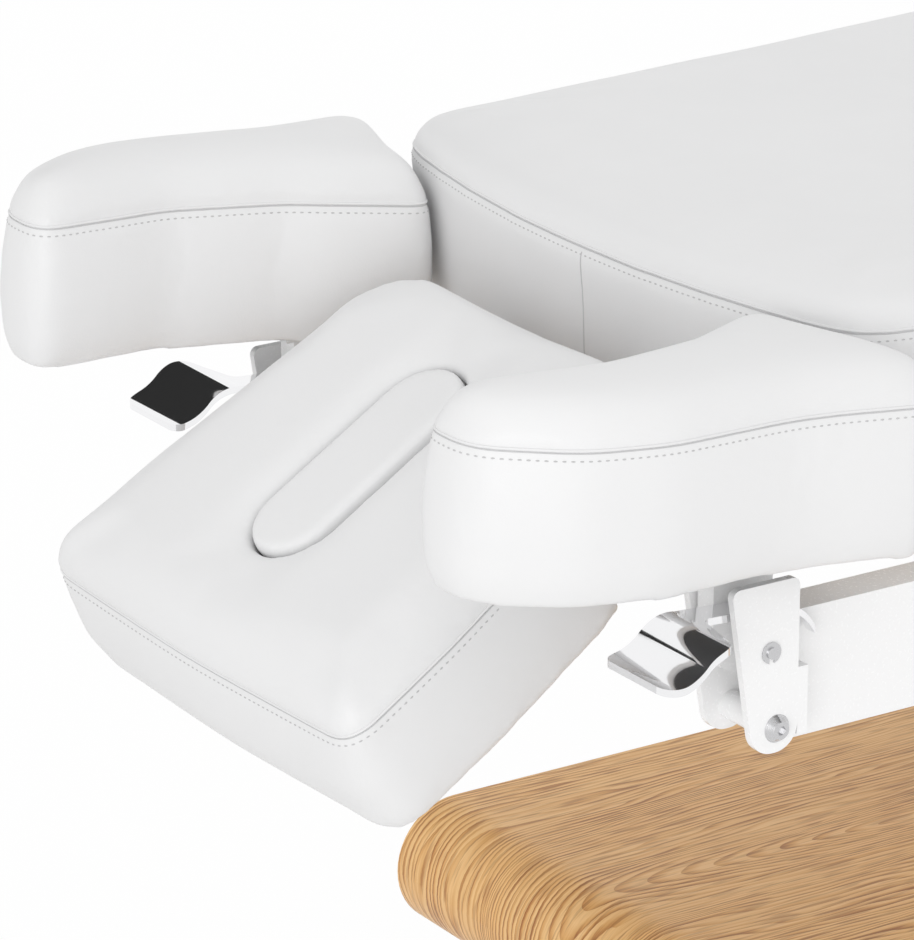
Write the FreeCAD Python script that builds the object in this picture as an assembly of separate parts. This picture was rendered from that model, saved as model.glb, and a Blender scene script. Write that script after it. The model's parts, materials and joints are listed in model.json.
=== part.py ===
import FreeCAD, Part
import math
import os

# Facial bed, in millimetres. X is across the bed, Y runs from the head end to the foot end and Z is up.
# The origin is on the floor under the middle of the bed.

V = FreeCAD.Vector

# Small gaps
SOFT_GAP = 0.3
RUN_GAP = 0.05
SLIDE_GAP = 0.5

# Oak base
FOOT_HEIGHT = 51.0
BASE_HEIGHT = 104.0
BASE_HALF_WIDTH = 285.0
BASE_HEAD_Y = -589.0
BASE_FOOT_Y = 430.0
BASE_WALL = 15.0
BASE_RETURN = 185.0
SIDE_PANEL = 12.0
SIDE_RECESS = 3.0
BASE_PLATE = 8.0
FOOT_PAD_RADIUS = 28.0
FOOT_PAD_HEIGHT = 8.0
FOOT_STEM_RADIUS = 6.0
FOOT_INSET_X = 75.0
FOOT_INSET_Y = 110.0
INLET_SIZE = (56.0, 34.0)
INLET_DEPTH = 3.0
INLET_FROM_FOOT = 150.0

# Lifting columns, each of three nested tubes
COLUMN_YS = (-170.0, 140.0)
COLUMN_WIDTH = 160.0
COLUMN_DEPTH = 120.0
COLUMN_WALL = 4.0
COLUMN_RISE = 267.0
COLUMN_CORNER = 14.0
OUTER_TOP_DROP = 122.0
MIDDLE_TOP_DROP = 77.0
STAGE_FLOOR_STEP = 12.0
MOTOR_RADIUS = 34.0
MOTOR_LENGTH = 120.0
SPINDLE_RADIUS = 9.0
SPINDLE_LENGTH = 200.0

# Chassis and seat frame
TOP_PLATE = 8.0
TOP_PLATE_MARGIN = 25.0
RAIL_X = (90.0, 130.0)
RAIL_HEIGHT = 40.0
RAIL_Y = (-235.0, 440.0)
CROSS_HEIGHT = 30.0
CROSS_DEPTH = 40.0
CROSS_YS = (190.0, 330.0)
SEAT_RISE = 68.0
BEAM_X = (253.0, 283.0)
BEAM_HEIGHT = 91.0
BEAM_DROP = 56.0
SEAT_BEAM_Y = (-45.0, 465.0)
RISER_LENGTH = 60.0
RISER_WIDTH = 14.0
RISER_SETBACK = 90.0
BOARD = 12.0
BOARD_MARGIN = 9.0
BOARD_CORNERS = (5.0, 20.0, 60.0)
CONTROL_BOX_HALF_WIDTH = 75.0

# Cushions
CUSHION_BELOW_SEAM = 111.7
CROWN = 28.0
ROLL_RADIUS = 59.7
CUSHION_HALF_WIDTH = 335.0
CUSHION_GAP = 1.5
BACK_HEAD_Y = -628.0
BACK_HEAD_BOW = 12.4
BACK_HEAD_STRAIGHT = 62.0
BACK_SHOULDER = 285.0
BACK_CORNER = 50.0
SEAT_CORNER = 12.0
LEG_END_Y = 942.6
LEG_END_HALF_WIDTH = 305.0
LEG_CORNER = 95.0
# Height above the bottom and how far the sides are drawn in there
CUSHION_LOW_PROFILE = ((0.0, 12.0), (10.0, 6.0), (30.0, 5.0), (55.85, 6.0))
# Height from the seam and how far the sides are drawn in there
CUSHION_SEAM_PROFILE = ((-24.0, 3.0), (-8.0, 0.5), (0.0, 0.0))
# Share of the crown's height and how far the sides are drawn in there
CUSHION_CROWN_PROFILE = ((0.35, 2.0), (0.64, 7.0), (0.86, 18.0), (1.0, 45.0))
ROLL_CROWN_DRAW = 3.5

# Tilting hinges of the back and the leg section
BACK_HINGE_Y = 40.0
LEG_HINGE_Y = 480.0
ARM_PLATE_GAP = 2.0
ARM_PLATE = 5.5
CHEEK_GAP = 0.5
CHEEK_PLATE = 6.0
HINGE_PIN_RADIUS = 8.0
HINGE_EYE = 26.0
CHEEK_EYE = 30.0
CAP_RADIUS = 24.0
CAP_HEIGHT = 4.0
TAIL_Y = (60.0, 110.0)
TAIL_HEIGHT = 23.0
GUSSET_GAP = 5.0
CHEEK_TAIL_Y = (42.0, 100.0)
CHEEK_TAIL_BELOW = (132.0, 166.0)

# Actuators that push the cranks of the back and the leg section
DRIVE_DROP = 110.0
DRIVE_X = 85.0
BACK_TILT = 65.0
LEG_TILT = 60.0
CRANK_X = (60.0, 70.0)
DRIVE_PIN_RADIUS = 7.0
SLOT_HALF_WIDTH = 12.0
ROD_RADIUS = 10.0
ROD_EYE = 13.0
ROD_OVERLAP = 45.0
TUBE_RADIUS = 14.0
TUBE_LENGTH = 195.0
TUBE_FROM_PIN = 40.0
GEARBOX = 50.0
DRIVE_MOTOR_RADIUS = 21.0
DRIVE_MOTOR_LENGTH = 100.0
SADDLE_HALF_LENGTH = 12.0
PIN_OVERHANG = 3.0
# Corners of each crank: along the bed from its weld or its tip, and up from the board or the tip
BACK_CRANK_WELD = (-70.0, -40.0)
BACK_CRANK_DEPTH = 30.0
BACK_CRANK_TIP = ((-24.0, -14.0), (19.0, 13.0), (-14.0, -4.0))
LEG_CRANK_WELD = 100.0
LEG_CRANK_TIP = ((-52.0, 0.0), (-24.0, -4.0), (12.0, -4.0))

# Headrest, in its own slope: x across, t up the slope from the head edge and w square to the seam plane
HEADREST_TILT = 32.0
HEADREST_PIVOT_AHEAD = 30.0
HEADREST_PIVOT_UP = 40.0
PIVOT_T = 318.0
PIVOT_W = -4.2
HEADREST_BELOW_SEAM = 95.0
# Right half of the outline at the seam, from the middle of the head edge to the neck, with its corner radii
HEADREST_CORNERS = ((0.0, -11.0), (201.0, -6.0), (198.0, 90.0), (190.0, 165.0), (176.0, 305.0))
HEADREST_RADII = (1500.0, 22.0, 150.0, 150.0, 48.0)
# Height from the seam and how far the sides, the neck and the head end are drawn in there
HEADREST_PROFILE = ((-95.0, 13.0, 81.0, 2.0), (-85.0, 6.0, 72.0, -8.0), (-45.0, 2.0, 38.0, -13.0),
                    (-15.0, 1.0, 13.0, -6.0), (0.0, 0.0, 0.0, 0.0), (7.0, 0.5, -4.0, 1.0),
                    (13.0, 2.0, -15.0, 3.0), (19.0, 5.0, -20.0, 7.0), (24.0, 10.5, -18.0, 14.0),
                    (27.5, 22.0, -6.0, 27.0), (29.5, 42.0, 14.0, 48.0))
HEADREST_BOARD_HALF_WIDTH = 150.0
HEADREST_BOARD_T = (40.0, 222.0)
HEADREST_BOARD_RADII = (25.0, 25.0, 8.0, 8.0)
PLUG_LENGTH = 187.0
PLUG_WIDTH = 73.0
PLUG_T = 167.0
PLUG_TOP = 30.5
PLUG_DEPTH = 78.0
PLUG_EDGE = 6.0
PLUG_GAP = 0.5
PIVOT_ROD_RADIUS = 5.0
EAR_RADIUS = 11.0
EAR_LEAN = 17.0
EAR_X = (96.0, 104.0)
EAR_FLANGE_X = (88.0, 112.0)
EAR_FLANGE_LENGTH = 120.0
EAR_FLANGE = 8.0
KNUCKLE_X = (71.0, 79.0)
KNUCKLE_RADIUS = 9.0
WASHER = 2.0
# Arm under the headrest: its foot on the board, then the head side of its neck down from the pivot
ARM_FOOT = (-107.0, -90.0, 18.0)
ARM_FOOT_DEPTH = 22.0
ARM_NECK = ((-10.0, -25.0), (-13.5, -53.0), (-18.0, -90.0), (-23.0, -125.0))
ARM_NECK_BACK = 45.0

# Armrests: the pin is the pivot of each armrest, measured from the back's head edge and seam
PIN_AHEAD = 44.8
PIN_BELOW_SEAM = 196.0
PIN_RADIUS = 4.0
ARM_PITCH = 3.0
ARM_SEAM_DROP = 8.0
ARM_HEAD_FROM_PIN = 238.2
ARM_BELOW_SEAM = 108.0
ARM_CROWN = 37.0
ARM_BOARD_INSET = 18.0
# Outline of the right armrest at its seam, x from the bed's middle and y from its head edge
ARM_CORNERS = ((246.0, 0.0), (303.0, 0.0), (345.0, 62.0), (355.0, 122.0), (343.0, 238.0), (364.0, 350.0),
               (250.0, 308.0), (188.0, 298.0), (239.0, 196.0), (257.0, 112.0))
ARM_RADII = (18.0, 40.0, 90.0, 110.0, 250.0, 20.0, 150.0, 12.0, 80.0, 80.0)
# Height above the bottom, then share of the crown's height, and how far the sides are drawn in there
ARM_LOW_PROFILE = ((0.0, 8.0), (6.0, 3.0), (20.0, -2.0), (50.0, -5.0), (80.0, -4.0), (100.0, -1.0),
                   (108.0, 0.0))
ARM_CROWN_PROFILE = ((0.3, 1.2), (0.55, 3.6), (0.76, 8.0), (0.91, 14.0), (1.0, 21.0))
PLATE_INNER_X = (246.0, 252.0)
PLATE_OUTER_X = (298.0, 304.0)
PLATE_AHEAD = 32.5
PLATE_SLANT = 19.5
PLATE_BEHIND = 22.8
PLATE_ABOVE = 49.0
PLATE_BELOW = 72.0
PLATE_CORNER = 18.0
PLATE_TOP_CORNER = 6.0
END_PLATE = 8.0
END_PLATE_ABOVE = -15.0
LUG_X = (254.0, 272.0)
LUG_RADIUS = 24.0
LUG_FLANGE = 4.0
CLIP = 1.2
CLIP_RADIUS = 7.5
SCREW_BEHIND = 6.0
SCREW_BELOW = 55.0
SCREW_RADIUS = 5.0
SCREW_HEAD_RADIUS = 10.0
SCREW_HEAD = 5.5
SCREW_HEAD_TOP_RADIUS = 6.2
SCREW_SOCKET_RADIUS = 3.5
SCREW_OVERHANG = 2.0
SPACER_RADIUS = 10.0
NUT_HEIGHT = 8.0
NUT_RADIUS = 9.8

# Release levers, measured from the armrest pin
LEVER_STEM_X = (275.0, 296.0)
# Side view from the front edge to the tail, along the bed and up
LEVER_SIDE = ((-114.2, 9.0), (-97.2, 12.0), (-85.2, 20.0), (-73.2, 28.0), (-57.2, 29.0), (4.8, 26.0),
              (28.8, 20.0), (41.8, 5.0))
# Plan of paddle, stem and tail, across the bed and along it, with its corner radii
LEVER_PLAN = ((274.0, -114.2), (351.0, -114.2), (351.0, -62.2), (296.0, -50.2), (296.0, 43.8), (285.5, 43.8),
              (285.5, 15.8), (275.0, 7.8))
LEVER_PLAN_RADII = (9.0, 16.0, 16.0, 8.0, 2.0, 2.0, 2.0, 2.0)
LEVER_HALF_THICK = 2.6
LEVER_PIVOT = (-7.2, 19.0)
LEVER_BARREL = 7.0
LEVER_PIN_RADIUS = 3.0

# Levels that follow from the sizes above
BASE_TOP = FOOT_HEIGHT + BASE_HEIGHT
BASE_FLOOR = FOOT_HEIGHT + BASE_WALL + BASE_PLATE
COLUMN_TOP = BASE_TOP + COLUMN_RISE
RAIL_BOTTOM = COLUMN_TOP + TOP_PLATE
RAIL_TOP = RAIL_BOTTOM + RAIL_HEIGHT
CROSS_TOP = RAIL_TOP + CROSS_HEIGHT
BOARD_BOTTOM = CROSS_TOP + SEAT_RISE
BOARD_TOP = BOARD_BOTTOM + BOARD
BEAM_TOP = BOARD_BOTTOM - BEAM_DROP
BEAM_BOTTOM = BEAM_TOP - BEAM_HEIGHT
CUSHION_BOTTOM = BOARD_TOP + SOFT_GAP
HINGE_Z = CUSHION_BOTTOM + ROLL_RADIUS
SEAM_Z = CUSHION_BOTTOM + CUSHION_BELOW_SEAM
DRIVE_Z = HINGE_Z - DRIVE_DROP
PIN_Y = BACK_HEAD_Y - PIN_AHEAD
PIN_Z = SEAM_Z - PIN_BELOW_SEAM
ARM_SEAM_Z = SEAM_Z - ARM_SEAM_DROP
BEAM_HEAD_Y = PIN_Y + PLATE_BEHIND + END_PLATE
HEADREST_PIVOT_Y = BACK_HEAD_Y - HEADREST_PIVOT_AHEAD
HEADREST_PIVOT_Z = BOARD_TOP + HEADREST_PIVOT_UP
BOARD_HALF_WIDTH = CUSHION_HALF_WIDTH - 3 * BOARD_MARGIN
GUSSET_X = BEAM_X[1] + GUSSET_GAP
ARM_PLATE_X = CUSHION_HALF_WIDTH + ARM_PLATE_GAP
CHEEK_X = ARM_PLATE_X + ARM_PLATE + CHEEK_GAP
SEAT_HEAD_Y = BACK_HINGE_Y + ROLL_RADIUS + CUSHION_GAP
SEAT_FOOT_Y = LEG_HINGE_Y - ROLL_RADIUS - CUSHION_GAP


# Plain solids

def box(x, y, z):
    return Part.makeBox(x[1] - x[0], y[1] - y[0], z[1] - z[0], V(x[0], y[0], z[0]))


def rod_x(x, y, z, radius):
    return Part.makeCylinder(radius, x[1] - x[0], V(x[0], y, z), V(1, 0, 0))


def rod_y(y, x, z, radius):
    return Part.makeCylinder(radius, y[1] - y[0], V(x, y[0], z), V(0, 1, 0))


def rod_z(z, x, y, radius):
    return Part.makeCylinder(radius, z[1] - z[0], V(x, y, z[0]), V(0, 0, 1))


def mirrored(shape):
    return shape.mirror(V(0, 0, 0), V(1, 0, 0))


def pair(shape):
    return Part.makeCompound([shape, mirrored(shape)])


def group(shapes):
    return Part.makeCompound(shapes)


# Outlines of straight edges with rounded corners, listed counter-clockwise

def unit(a, b):
    length = math.hypot(b[0] - a[0], b[1] - a[1])
    return ((b[0] - a[0]) / length, (b[1] - a[1]) / length)


def cross(a, b):
    return a[0] * b[1] - a[1] * b[0]


def inset_corners(corners, insets):
    """Corners of the outline after edge i, from corner i to the next, moves inwards by insets[i]."""
    lines = []
    for i, corner in enumerate(corners):
        along = unit(corner, corners[(i + 1) % len(corners)])
        start = (corner[0] - along[1] * insets[i], corner[1] + along[0] * insets[i])
        lines.append((start, along))
    moved = []
    for i, (start, along) in enumerate(lines):
        before, way = lines[i - 1]
        reach = cross((start[0] - before[0], start[1] - before[1]), along) / cross(way, along)
        moved.append((before[0] + way[0] * reach, before[1] + way[1] * reach))
    return moved


def rounded_wire(corners, radii, place):
    """Closed wire of lines and arcs; place turns a flat point into a point in space."""
    rounds = []
    count = len(corners)
    for i, corner in enumerate(corners):
        way_in = unit(corners[i - 1], corner)
        way_out = unit(corner, corners[(i + 1) % count])
        half_turn = 0.5 * math.atan2(cross(way_in, way_out), way_in[0] * way_out[0] + way_in[1] * way_out[1])
        reach = radii[i] * math.tan(abs(half_turn))
        inner = unit((0, 0), (way_out[0] - way_in[0], way_out[1] - way_in[1]))
        apex = radii[i] / math.cos(half_turn) - radii[i]
        first = (corner[0] - way_in[0] * reach, corner[1] - way_in[1] * reach)
        middle = (corner[0] + inner[0] * apex, corner[1] + inner[1] * apex)
        last = (corner[0] + way_out[0] * reach, corner[1] + way_out[1] * reach)
        rounds.append((first, middle, last))
    edges = []
    for i, (first, middle, last) in enumerate(rounds):
        edges.append(Part.Arc(place(*first), place(*middle), place(*last)).toShape())
        edges.append(Part.LineSegment(place(*last), place(*rounds[(i + 1) % count][0])).toShape())
    return Part.Wire(edges)


def inset_radii(corners, radii, insets, least):
    """Corner radii after an inset: a bulging corner tightens and a hollow one opens."""
    changed = []
    for i, corner in enumerate(corners):
        way_in = unit(corners[i - 1], corner)
        way_out = unit(corner, corners[(i + 1) % len(corners)])
        inset = min(insets[i - 1], insets[i])
        turn = 1 if cross(way_in, way_out) > 0 else -1
        changed.append(max(radii[i] - turn * inset, least))
    return changed


def pad(corners, radii, levels, least=4.0):
    """Stuffed form lofted through flat sections; a level is a height and one inset for each edge."""
    wires = []
    for height, insets in levels:
        moved = inset_corners(corners, insets)
        rounds = inset_radii(corners, radii, insets, least)
        wires.append(rounded_wire(moved, rounds, lambda x, y: V(x, y, height)))
    return Part.makeLoft(wires, True, True)


def prism_z(corners, radii, z):
    wire = rounded_wire(corners, radii, lambda x, y: V(x, y, z[0]))
    return Part.Face(wire).extrude(V(0, 0, z[1] - z[0]))


def prism_x(corners, radii, x):
    wire = rounded_wire(corners, radii, lambda y, z: V(x[0], y, z))
    return Part.Face(wire).extrude(V(x[1] - x[0], 0, 0))


def plate_x(corners, x):
    points = [V(x[0], y, z) for y, z in corners]
    return Part.Face(Part.makePolygon(points + points[:1])).extrude(V(x[1] - x[0], 0, 0))


# Oak base

def stadium(inset, x):
    """Solid along X with straight top and bottom and round ends, inset from the base's outside."""
    z0 = FOOT_HEIGHT + inset
    z1 = BASE_TOP - inset
    middle = (z0 + z1) / 2
    radius = (z1 - z0) / 2
    slant = radius * math.sqrt(0.5)
    y0 = BASE_HEAD_Y + inset + radius
    y1 = BASE_FOOT_Y - inset - radius

    def at(y, z):
        return V(x[0], y, z)

    edges = [
        Part.LineSegment(at(y0, z0), at(y1, z0)).toShape(),
        Part.Arc(at(y1, z0), at(y1 + slant, middle - slant), at(y1 + radius, middle)).toShape(),
        Part.Arc(at(y1 + radius, middle), at(y1 + slant, middle + slant), at(y1, z1)).toShape(),
        Part.LineSegment(at(y1, z1), at(y0, z1)).toShape(),
        Part.Arc(at(y0, z1), at(y0 - slant, middle + slant), at(y0 - radius, middle)).toShape(),
        Part.Arc(at(y0 - radius, middle), at(y0 - slant, middle - slant), at(y0, z0)).toShape(),
    ]
    return Part.Face(Part.Wire(edges)).extrude(V(x[1] - x[0], 0, 0))


def column_block(shrink, y, z):
    """Upright block with rounded corners on a column's middle, shrunk all round."""
    half_x = COLUMN_WIDTH / 2 - shrink
    half_y = COLUMN_DEPTH / 2 - shrink
    corners = [(-half_x, y - half_y), (half_x, y - half_y), (half_x, y + half_y), (-half_x, y + half_y)]
    radius = max(COLUMN_CORNER - shrink, 1.0)
    return prism_z(corners, [radius] * 4, z)


def foot_places():
    half = BASE_HALF_WIDTH - FOOT_INSET_X
    return [(x, y) for x in (-half, half) for y in (BASE_HEAD_Y + FOOT_INSET_Y, BASE_FOOT_Y - FOOT_INSET_Y)]


def base_shell():
    width = (-BASE_HALF_WIDTH, BASE_HALF_WIDTH)
    shell = stadium(0, width).cut(stadium(BASE_WALL, width))
    open_y = (BASE_HEAD_Y + BASE_RETURN, BASE_FOOT_Y - BASE_RETURN)
    shell = shell.cut(box(width, open_y, (FOOT_HEIGHT - 1, FOOT_HEIGHT + BASE_WALL + 1)))
    for y in COLUMN_YS:
        shell = shell.cut(column_block(-SLIDE_GAP, y, (BASE_TOP - BASE_WALL - 1, BASE_TOP + 1)))
    for x, y in foot_places():
        shell = shell.cut(rod_z((FOOT_HEIGHT - 1, FOOT_HEIGHT + BASE_WALL), x, y, FOOT_STEM_RADIUS))
    return shell


def base_sides():
    outside = BASE_HALF_WIDTH - SIDE_RECESS
    return pair(stadium(BASE_WALL, (outside - SIDE_PANEL, outside)))


def base_plate():
    half = BASE_HALF_WIDTH - SIDE_RECESS - SIDE_PANEL
    ends = (BASE_HEAD_Y + FOOT_INSET_Y / 2 + BASE_WALL, BASE_FOOT_Y - FOOT_INSET_Y / 2 - BASE_WALL)
    return box((-half, half), ends, (FOOT_HEIGHT + BASE_WALL, BASE_FLOOR))


def foot_pads():
    return group([rod_z((0, FOOT_PAD_HEIGHT), x, y, FOOT_PAD_RADIUS) for x, y in foot_places()])


def foot_stems():
    rise = (FOOT_PAD_HEIGHT, FOOT_HEIGHT + BASE_WALL)
    return group([rod_z(rise, x, y, FOOT_STEM_RADIUS) for x, y in foot_places()])


def power_inlet():
    """Bare three-blade inlet on the left side panel."""
    outside = -(BASE_HALF_WIDTH - SIDE_RECESS)
    middle_y = BASE_FOOT_Y - INLET_FROM_FOOT
    middle_z = FOOT_HEIGHT + BASE_HEIGHT / 2
    half_y = INLET_SIZE[0] / 2
    half_z = INLET_SIZE[1] / 2

    def plate(shrink, x):
        corners = [(middle_y - half_y + shrink, middle_z - half_z + shrink),
                   (middle_y + half_y - shrink, middle_z - half_z + shrink),
                   (middle_y + half_y - shrink, middle_z + half_z - shrink),
                   (middle_y - half_y + shrink, middle_z + half_z - shrink)]
        return prism_x(corners, [half_z / 4] * 4, x)

    rim = half_z / 2
    inlet = plate(0, (outside - INLET_DEPTH, outside)).cut(plate(rim, (outside - INLET_DEPTH, outside - 1)))
    for step in (-1, 0, 1):
        blade_y = middle_y + step * half_y / 4
        span = (blade_y - 1, blade_y + 1)
        inlet = inlet.fuse(box((outside - INLET_DEPTH, outside), span, (middle_z - 3, middle_z + 3)))
    return inlet


# Lifting columns

def column_tube(stage, z):
    """Both columns' tubes of one stage: 0 is the outer tube, 2 the inner one."""
    shrink = stage * (COLUMN_WALL + SLIDE_GAP)
    inner = shrink + COLUMN_WALL
    return group([column_block(shrink, y, z).cut(column_block(inner, y, z)) for y in COLUMN_YS])


def lift_motors():
    """Motors that hang inside the inner tubes, each with its spindle below."""
    low = COLUMN_TOP - MOTOR_LENGTH
    motors = []
    for y in COLUMN_YS:
        spindle = rod_z((low - SPINDLE_LENGTH, low), 0, y, SPINDLE_RADIUS)
        motors.append(rod_z((low, COLUMN_TOP), 0, y, MOTOR_RADIUS).fuse(spindle))
    return group(motors)


# Chassis and seat frame

def column_top_plates():
    half_x = COLUMN_WIDTH / 2 + 2 * TOP_PLATE_MARGIN
    half_y = COLUMN_DEPTH / 2 + TOP_PLATE_MARGIN / 5
    rise = (COLUMN_TOP, RAIL_BOTTOM)
    return group([box((-half_x, half_x), (y - half_y, y + half_y), rise) for y in COLUMN_YS])


def cross_tubes():
    half = CROSS_DEPTH / 2
    width = (-BEAM_X[0], BEAM_X[0])
    return group([box(width, (y - half, y + half), (RAIL_TOP, CROSS_TOP)) for y in CROSS_YS])


def risers(ys):
    """Upright blocks between the side beams and a board, centred at the given places along the bed."""
    half = RISER_LENGTH / 2
    width = (BEAM_X[0], BEAM_X[0] + RISER_WIDTH)
    return group([pair(box(width, (y - half, y + half), (BEAM_TOP, BOARD_BOTTOM))) for y in ys])


def control_box():
    gap = CROSS_DEPTH / 2
    span = (CROSS_YS[0] + gap, CROSS_YS[1] - gap)
    return box((-CONTROL_BOX_HALF_WIDTH, CONTROL_BOX_HALF_WIDTH), span, (RAIL_TOP, CROSS_TOP))


# Cushions of the back, the seat and the leg section

def roll_inset(height):
    """How far the rolled end is drawn back at a height, so that it turns about its hinge."""
    rise = min(abs(height - HINGE_Z), ROLL_RADIUS)
    return ROLL_RADIUS - math.sqrt(ROLL_RADIUS ** 2 - rise ** 2)


def cushion_levels(kinds):
    """Heights and insets of a cushion; an edge's kind is side or roll."""
    profile = [(CUSHION_BOTTOM + rise, inset) for rise, inset in CUSHION_LOW_PROFILE]
    profile += [(SEAM_Z + rise, inset) for rise, inset in CUSHION_SEAM_PROFILE]
    profile += [(SEAM_Z + share * CROWN, inset) for share, inset in CUSHION_CROWN_PROFILE]
    levels = []
    for height, side in profile:
        above = max(height - HINGE_Z - ROLL_RADIUS, 0)
        roll = roll_inset(height) + ROLL_CROWN_DRAW * above
        levels.append((height, [roll if kind == "roll" else side for kind in kinds]))
    return levels


def back_cushion():
    bow = math.radians(BACK_HEAD_BOW)
    head_radius = (BACK_SHOULDER / math.cos(bow) - BACK_HEAD_STRAIGHT) / math.tan(bow)
    peak = BACK_HEAD_Y - head_radius * (1 / math.cos(bow) - 1)
    shoulder_y = peak + BACK_SHOULDER * math.tan(bow)
    foot_y = BACK_HINGE_Y + ROLL_RADIUS
    corners = [(0, peak), (BACK_SHOULDER, shoulder_y), (CUSHION_HALF_WIDTH, foot_y),
               (-CUSHION_HALF_WIDTH, foot_y), (-BACK_SHOULDER, shoulder_y)]
    radii = [head_radius, BACK_CORNER, SEAT_CORNER, SEAT_CORNER, BACK_CORNER]
    return pad(corners, radii, cushion_levels(["side", "side", "roll", "side", "side"]))


def seat_cushion():
    corners = [(-CUSHION_HALF_WIDTH, SEAT_HEAD_Y), (CUSHION_HALF_WIDTH, SEAT_HEAD_Y),
               (CUSHION_HALF_WIDTH, SEAT_FOOT_Y), (-CUSHION_HALF_WIDTH, SEAT_FOOT_Y)]
    return pad(corners, [SEAT_CORNER] * 4, cushion_levels(["side"] * 4))


def leg_cushion():
    head_y = LEG_HINGE_Y - ROLL_RADIUS
    corners = [(-CUSHION_HALF_WIDTH, head_y), (CUSHION_HALF_WIDTH, head_y),
               (LEG_END_HALF_WIDTH, LEG_END_Y), (-LEG_END_HALF_WIDTH, LEG_END_Y)]
    radii = [SEAT_CORNER, SEAT_CORNER, LEG_CORNER, LEG_CORNER]
    return pad(corners, radii, cushion_levels(["roll", "side", "side", "side"]))


def board(head_y, foot_y, head_half, foot_half, corner):
    corners = [(-head_half, head_y), (head_half, head_y), (foot_half, foot_y), (-foot_half, foot_y)]
    return prism_z(corners, corner, (BOARD_BOTTOM, BOARD_TOP))


def back_board():
    small, rounded, _ = BOARD_CORNERS
    head_y = BACK_HEAD_Y + BACK_CORNER
    head_half = BACK_SHOULDER - 3 * BOARD_MARGIN
    foot_y = BACK_HINGE_Y - ROLL_RADIUS / 2
    return board(head_y, foot_y, head_half, BOARD_HALF_WIDTH, [rounded, rounded, small, small])


def seat_board():
    head_y = SEAT_HEAD_Y + BOARD_MARGIN
    foot_y = SEAT_FOOT_Y - BOARD_MARGIN
    return board(head_y, foot_y, BOARD_HALF_WIDTH, BOARD_HALF_WIDTH, [BOARD_CORNERS[0]] * 4)


def leg_board():
    small, _, wide = BOARD_CORNERS
    end_half = LEG_END_HALF_WIDTH - 3 * BOARD_MARGIN
    end_y = LEG_END_Y - 4 * BOARD_MARGIN
    return board(LEG_HINGE_Y + ROLL_RADIUS / 2, end_y, BOARD_HALF_WIDTH, end_half, [small, small, wide, wide])


def leg_rails():
    start = LEG_HINGE_Y + TAIL_Y[0]
    end = LEG_END_Y - BACK_CORNER
    low = BOARD_BOTTOM - TAIL_HEIGHT
    return pair(box((BEAM_X[0] - RISER_LENGTH, BEAM_X[0] - CROSS_HEIGHT), (start, end), (low, BOARD_BOTTOM)))


# Tilting hinges

def hinge_arms(hinge_y, way):
    """Side plates that carry a tilting section; way is +1 where the section lies towards the foot."""
    low = BOARD_BOTTOM - TAIL_HEIGHT
    near = hinge_y + way * TAIL_Y[0]
    far = hinge_y + way * TAIL_Y[1]
    plate_span = (ARM_PLATE_X, ARM_PLATE_X + ARM_PLATE)
    corners = [(hinge_y - way * HINGE_EYE, HINGE_Z), (near, low), (far, low), (far, BOARD_BOTTOM),
               (hinge_y + way * HINGE_EYE, HINGE_Z)]
    arm = plate_x(corners, plate_span).fuse(rod_x(plate_span, hinge_y, HINGE_Z, HINGE_EYE))
    gusset = box((GUSSET_X, ARM_PLATE_X), sorted((near, far)), (low, BOARD_BOTTOM))
    arm = arm.fuse(gusset).cut(rod_x(plate_span, hinge_y, HINGE_Z, HINGE_PIN_RADIUS))
    return pair(arm)


def hinge_pins(hinge_y):
    return pair(rod_x((ARM_PLATE_X, CHEEK_X + CHEEK_PLATE), hinge_y, HINGE_Z, HINGE_PIN_RADIUS))


def hinge_cheeks(hinge_y, way):
    """Fixed plates on the seat frame that hold a hinge's pins; way points from the hinge to the seat."""
    span = (CHEEK_X, CHEEK_X + CHEEK_PLATE)
    near = hinge_y + way * CHEEK_TAIL_Y[0]
    far = hinge_y + way * CHEEK_TAIL_Y[1]
    high = HINGE_Z - CHEEK_TAIL_BELOW[0]
    low = HINGE_Z - CHEEK_TAIL_BELOW[1]
    corners = [(hinge_y - way * CHEEK_EYE, HINGE_Z), (near, low), (far, low), (far, high),
               (hinge_y + way * CHEEK_EYE, HINGE_Z)]
    cheek = plate_x(corners, span).fuse(rod_x(span, hinge_y, HINGE_Z, CHEEK_EYE))
    foot = box((BEAM_X[1], CHEEK_X), sorted((near, far)), (low, high))
    cheek = cheek.fuse(foot).cut(rod_x(span, hinge_y, HINGE_Z, HINGE_PIN_RADIUS + RUN_GAP))
    return pair(cheek)


def hinge_caps():
    outside = CHEEK_X + CHEEK_PLATE
    caps = []
    for hinge_y in (BACK_HINGE_Y, LEG_HINGE_Y):
        disc = Part.makeCylinder(CAP_RADIUS, CAP_HEIGHT, V(outside, hinge_y, HINGE_Z), V(1, 0, 0))
        rim = [edge for edge in disc.Edges if abs(edge.BoundBox.XMin - outside - CAP_HEIGHT) < 0.01]
        caps.append(pair(disc.makeFillet(CAP_HEIGHT / 2, rim)))
    return group(caps)


# Actuators and cranks. A crank's slot lies along a line through its hinge, and the rod's pin runs in it.

def slot_line(hinge_y, tilt, reach):
    """Point on a crank's slot at rest, on the foot side of the hinge, at a distance from the hinge."""
    lean = math.radians(tilt / 2)
    return (hinge_y + reach * math.sin(lean), HINGE_Z - reach * math.cos(lean))


def drive_pin_y(hinge_y, tilt):
    return hinge_y + DRIVE_DROP * math.tan(math.radians(tilt / 2))


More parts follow.
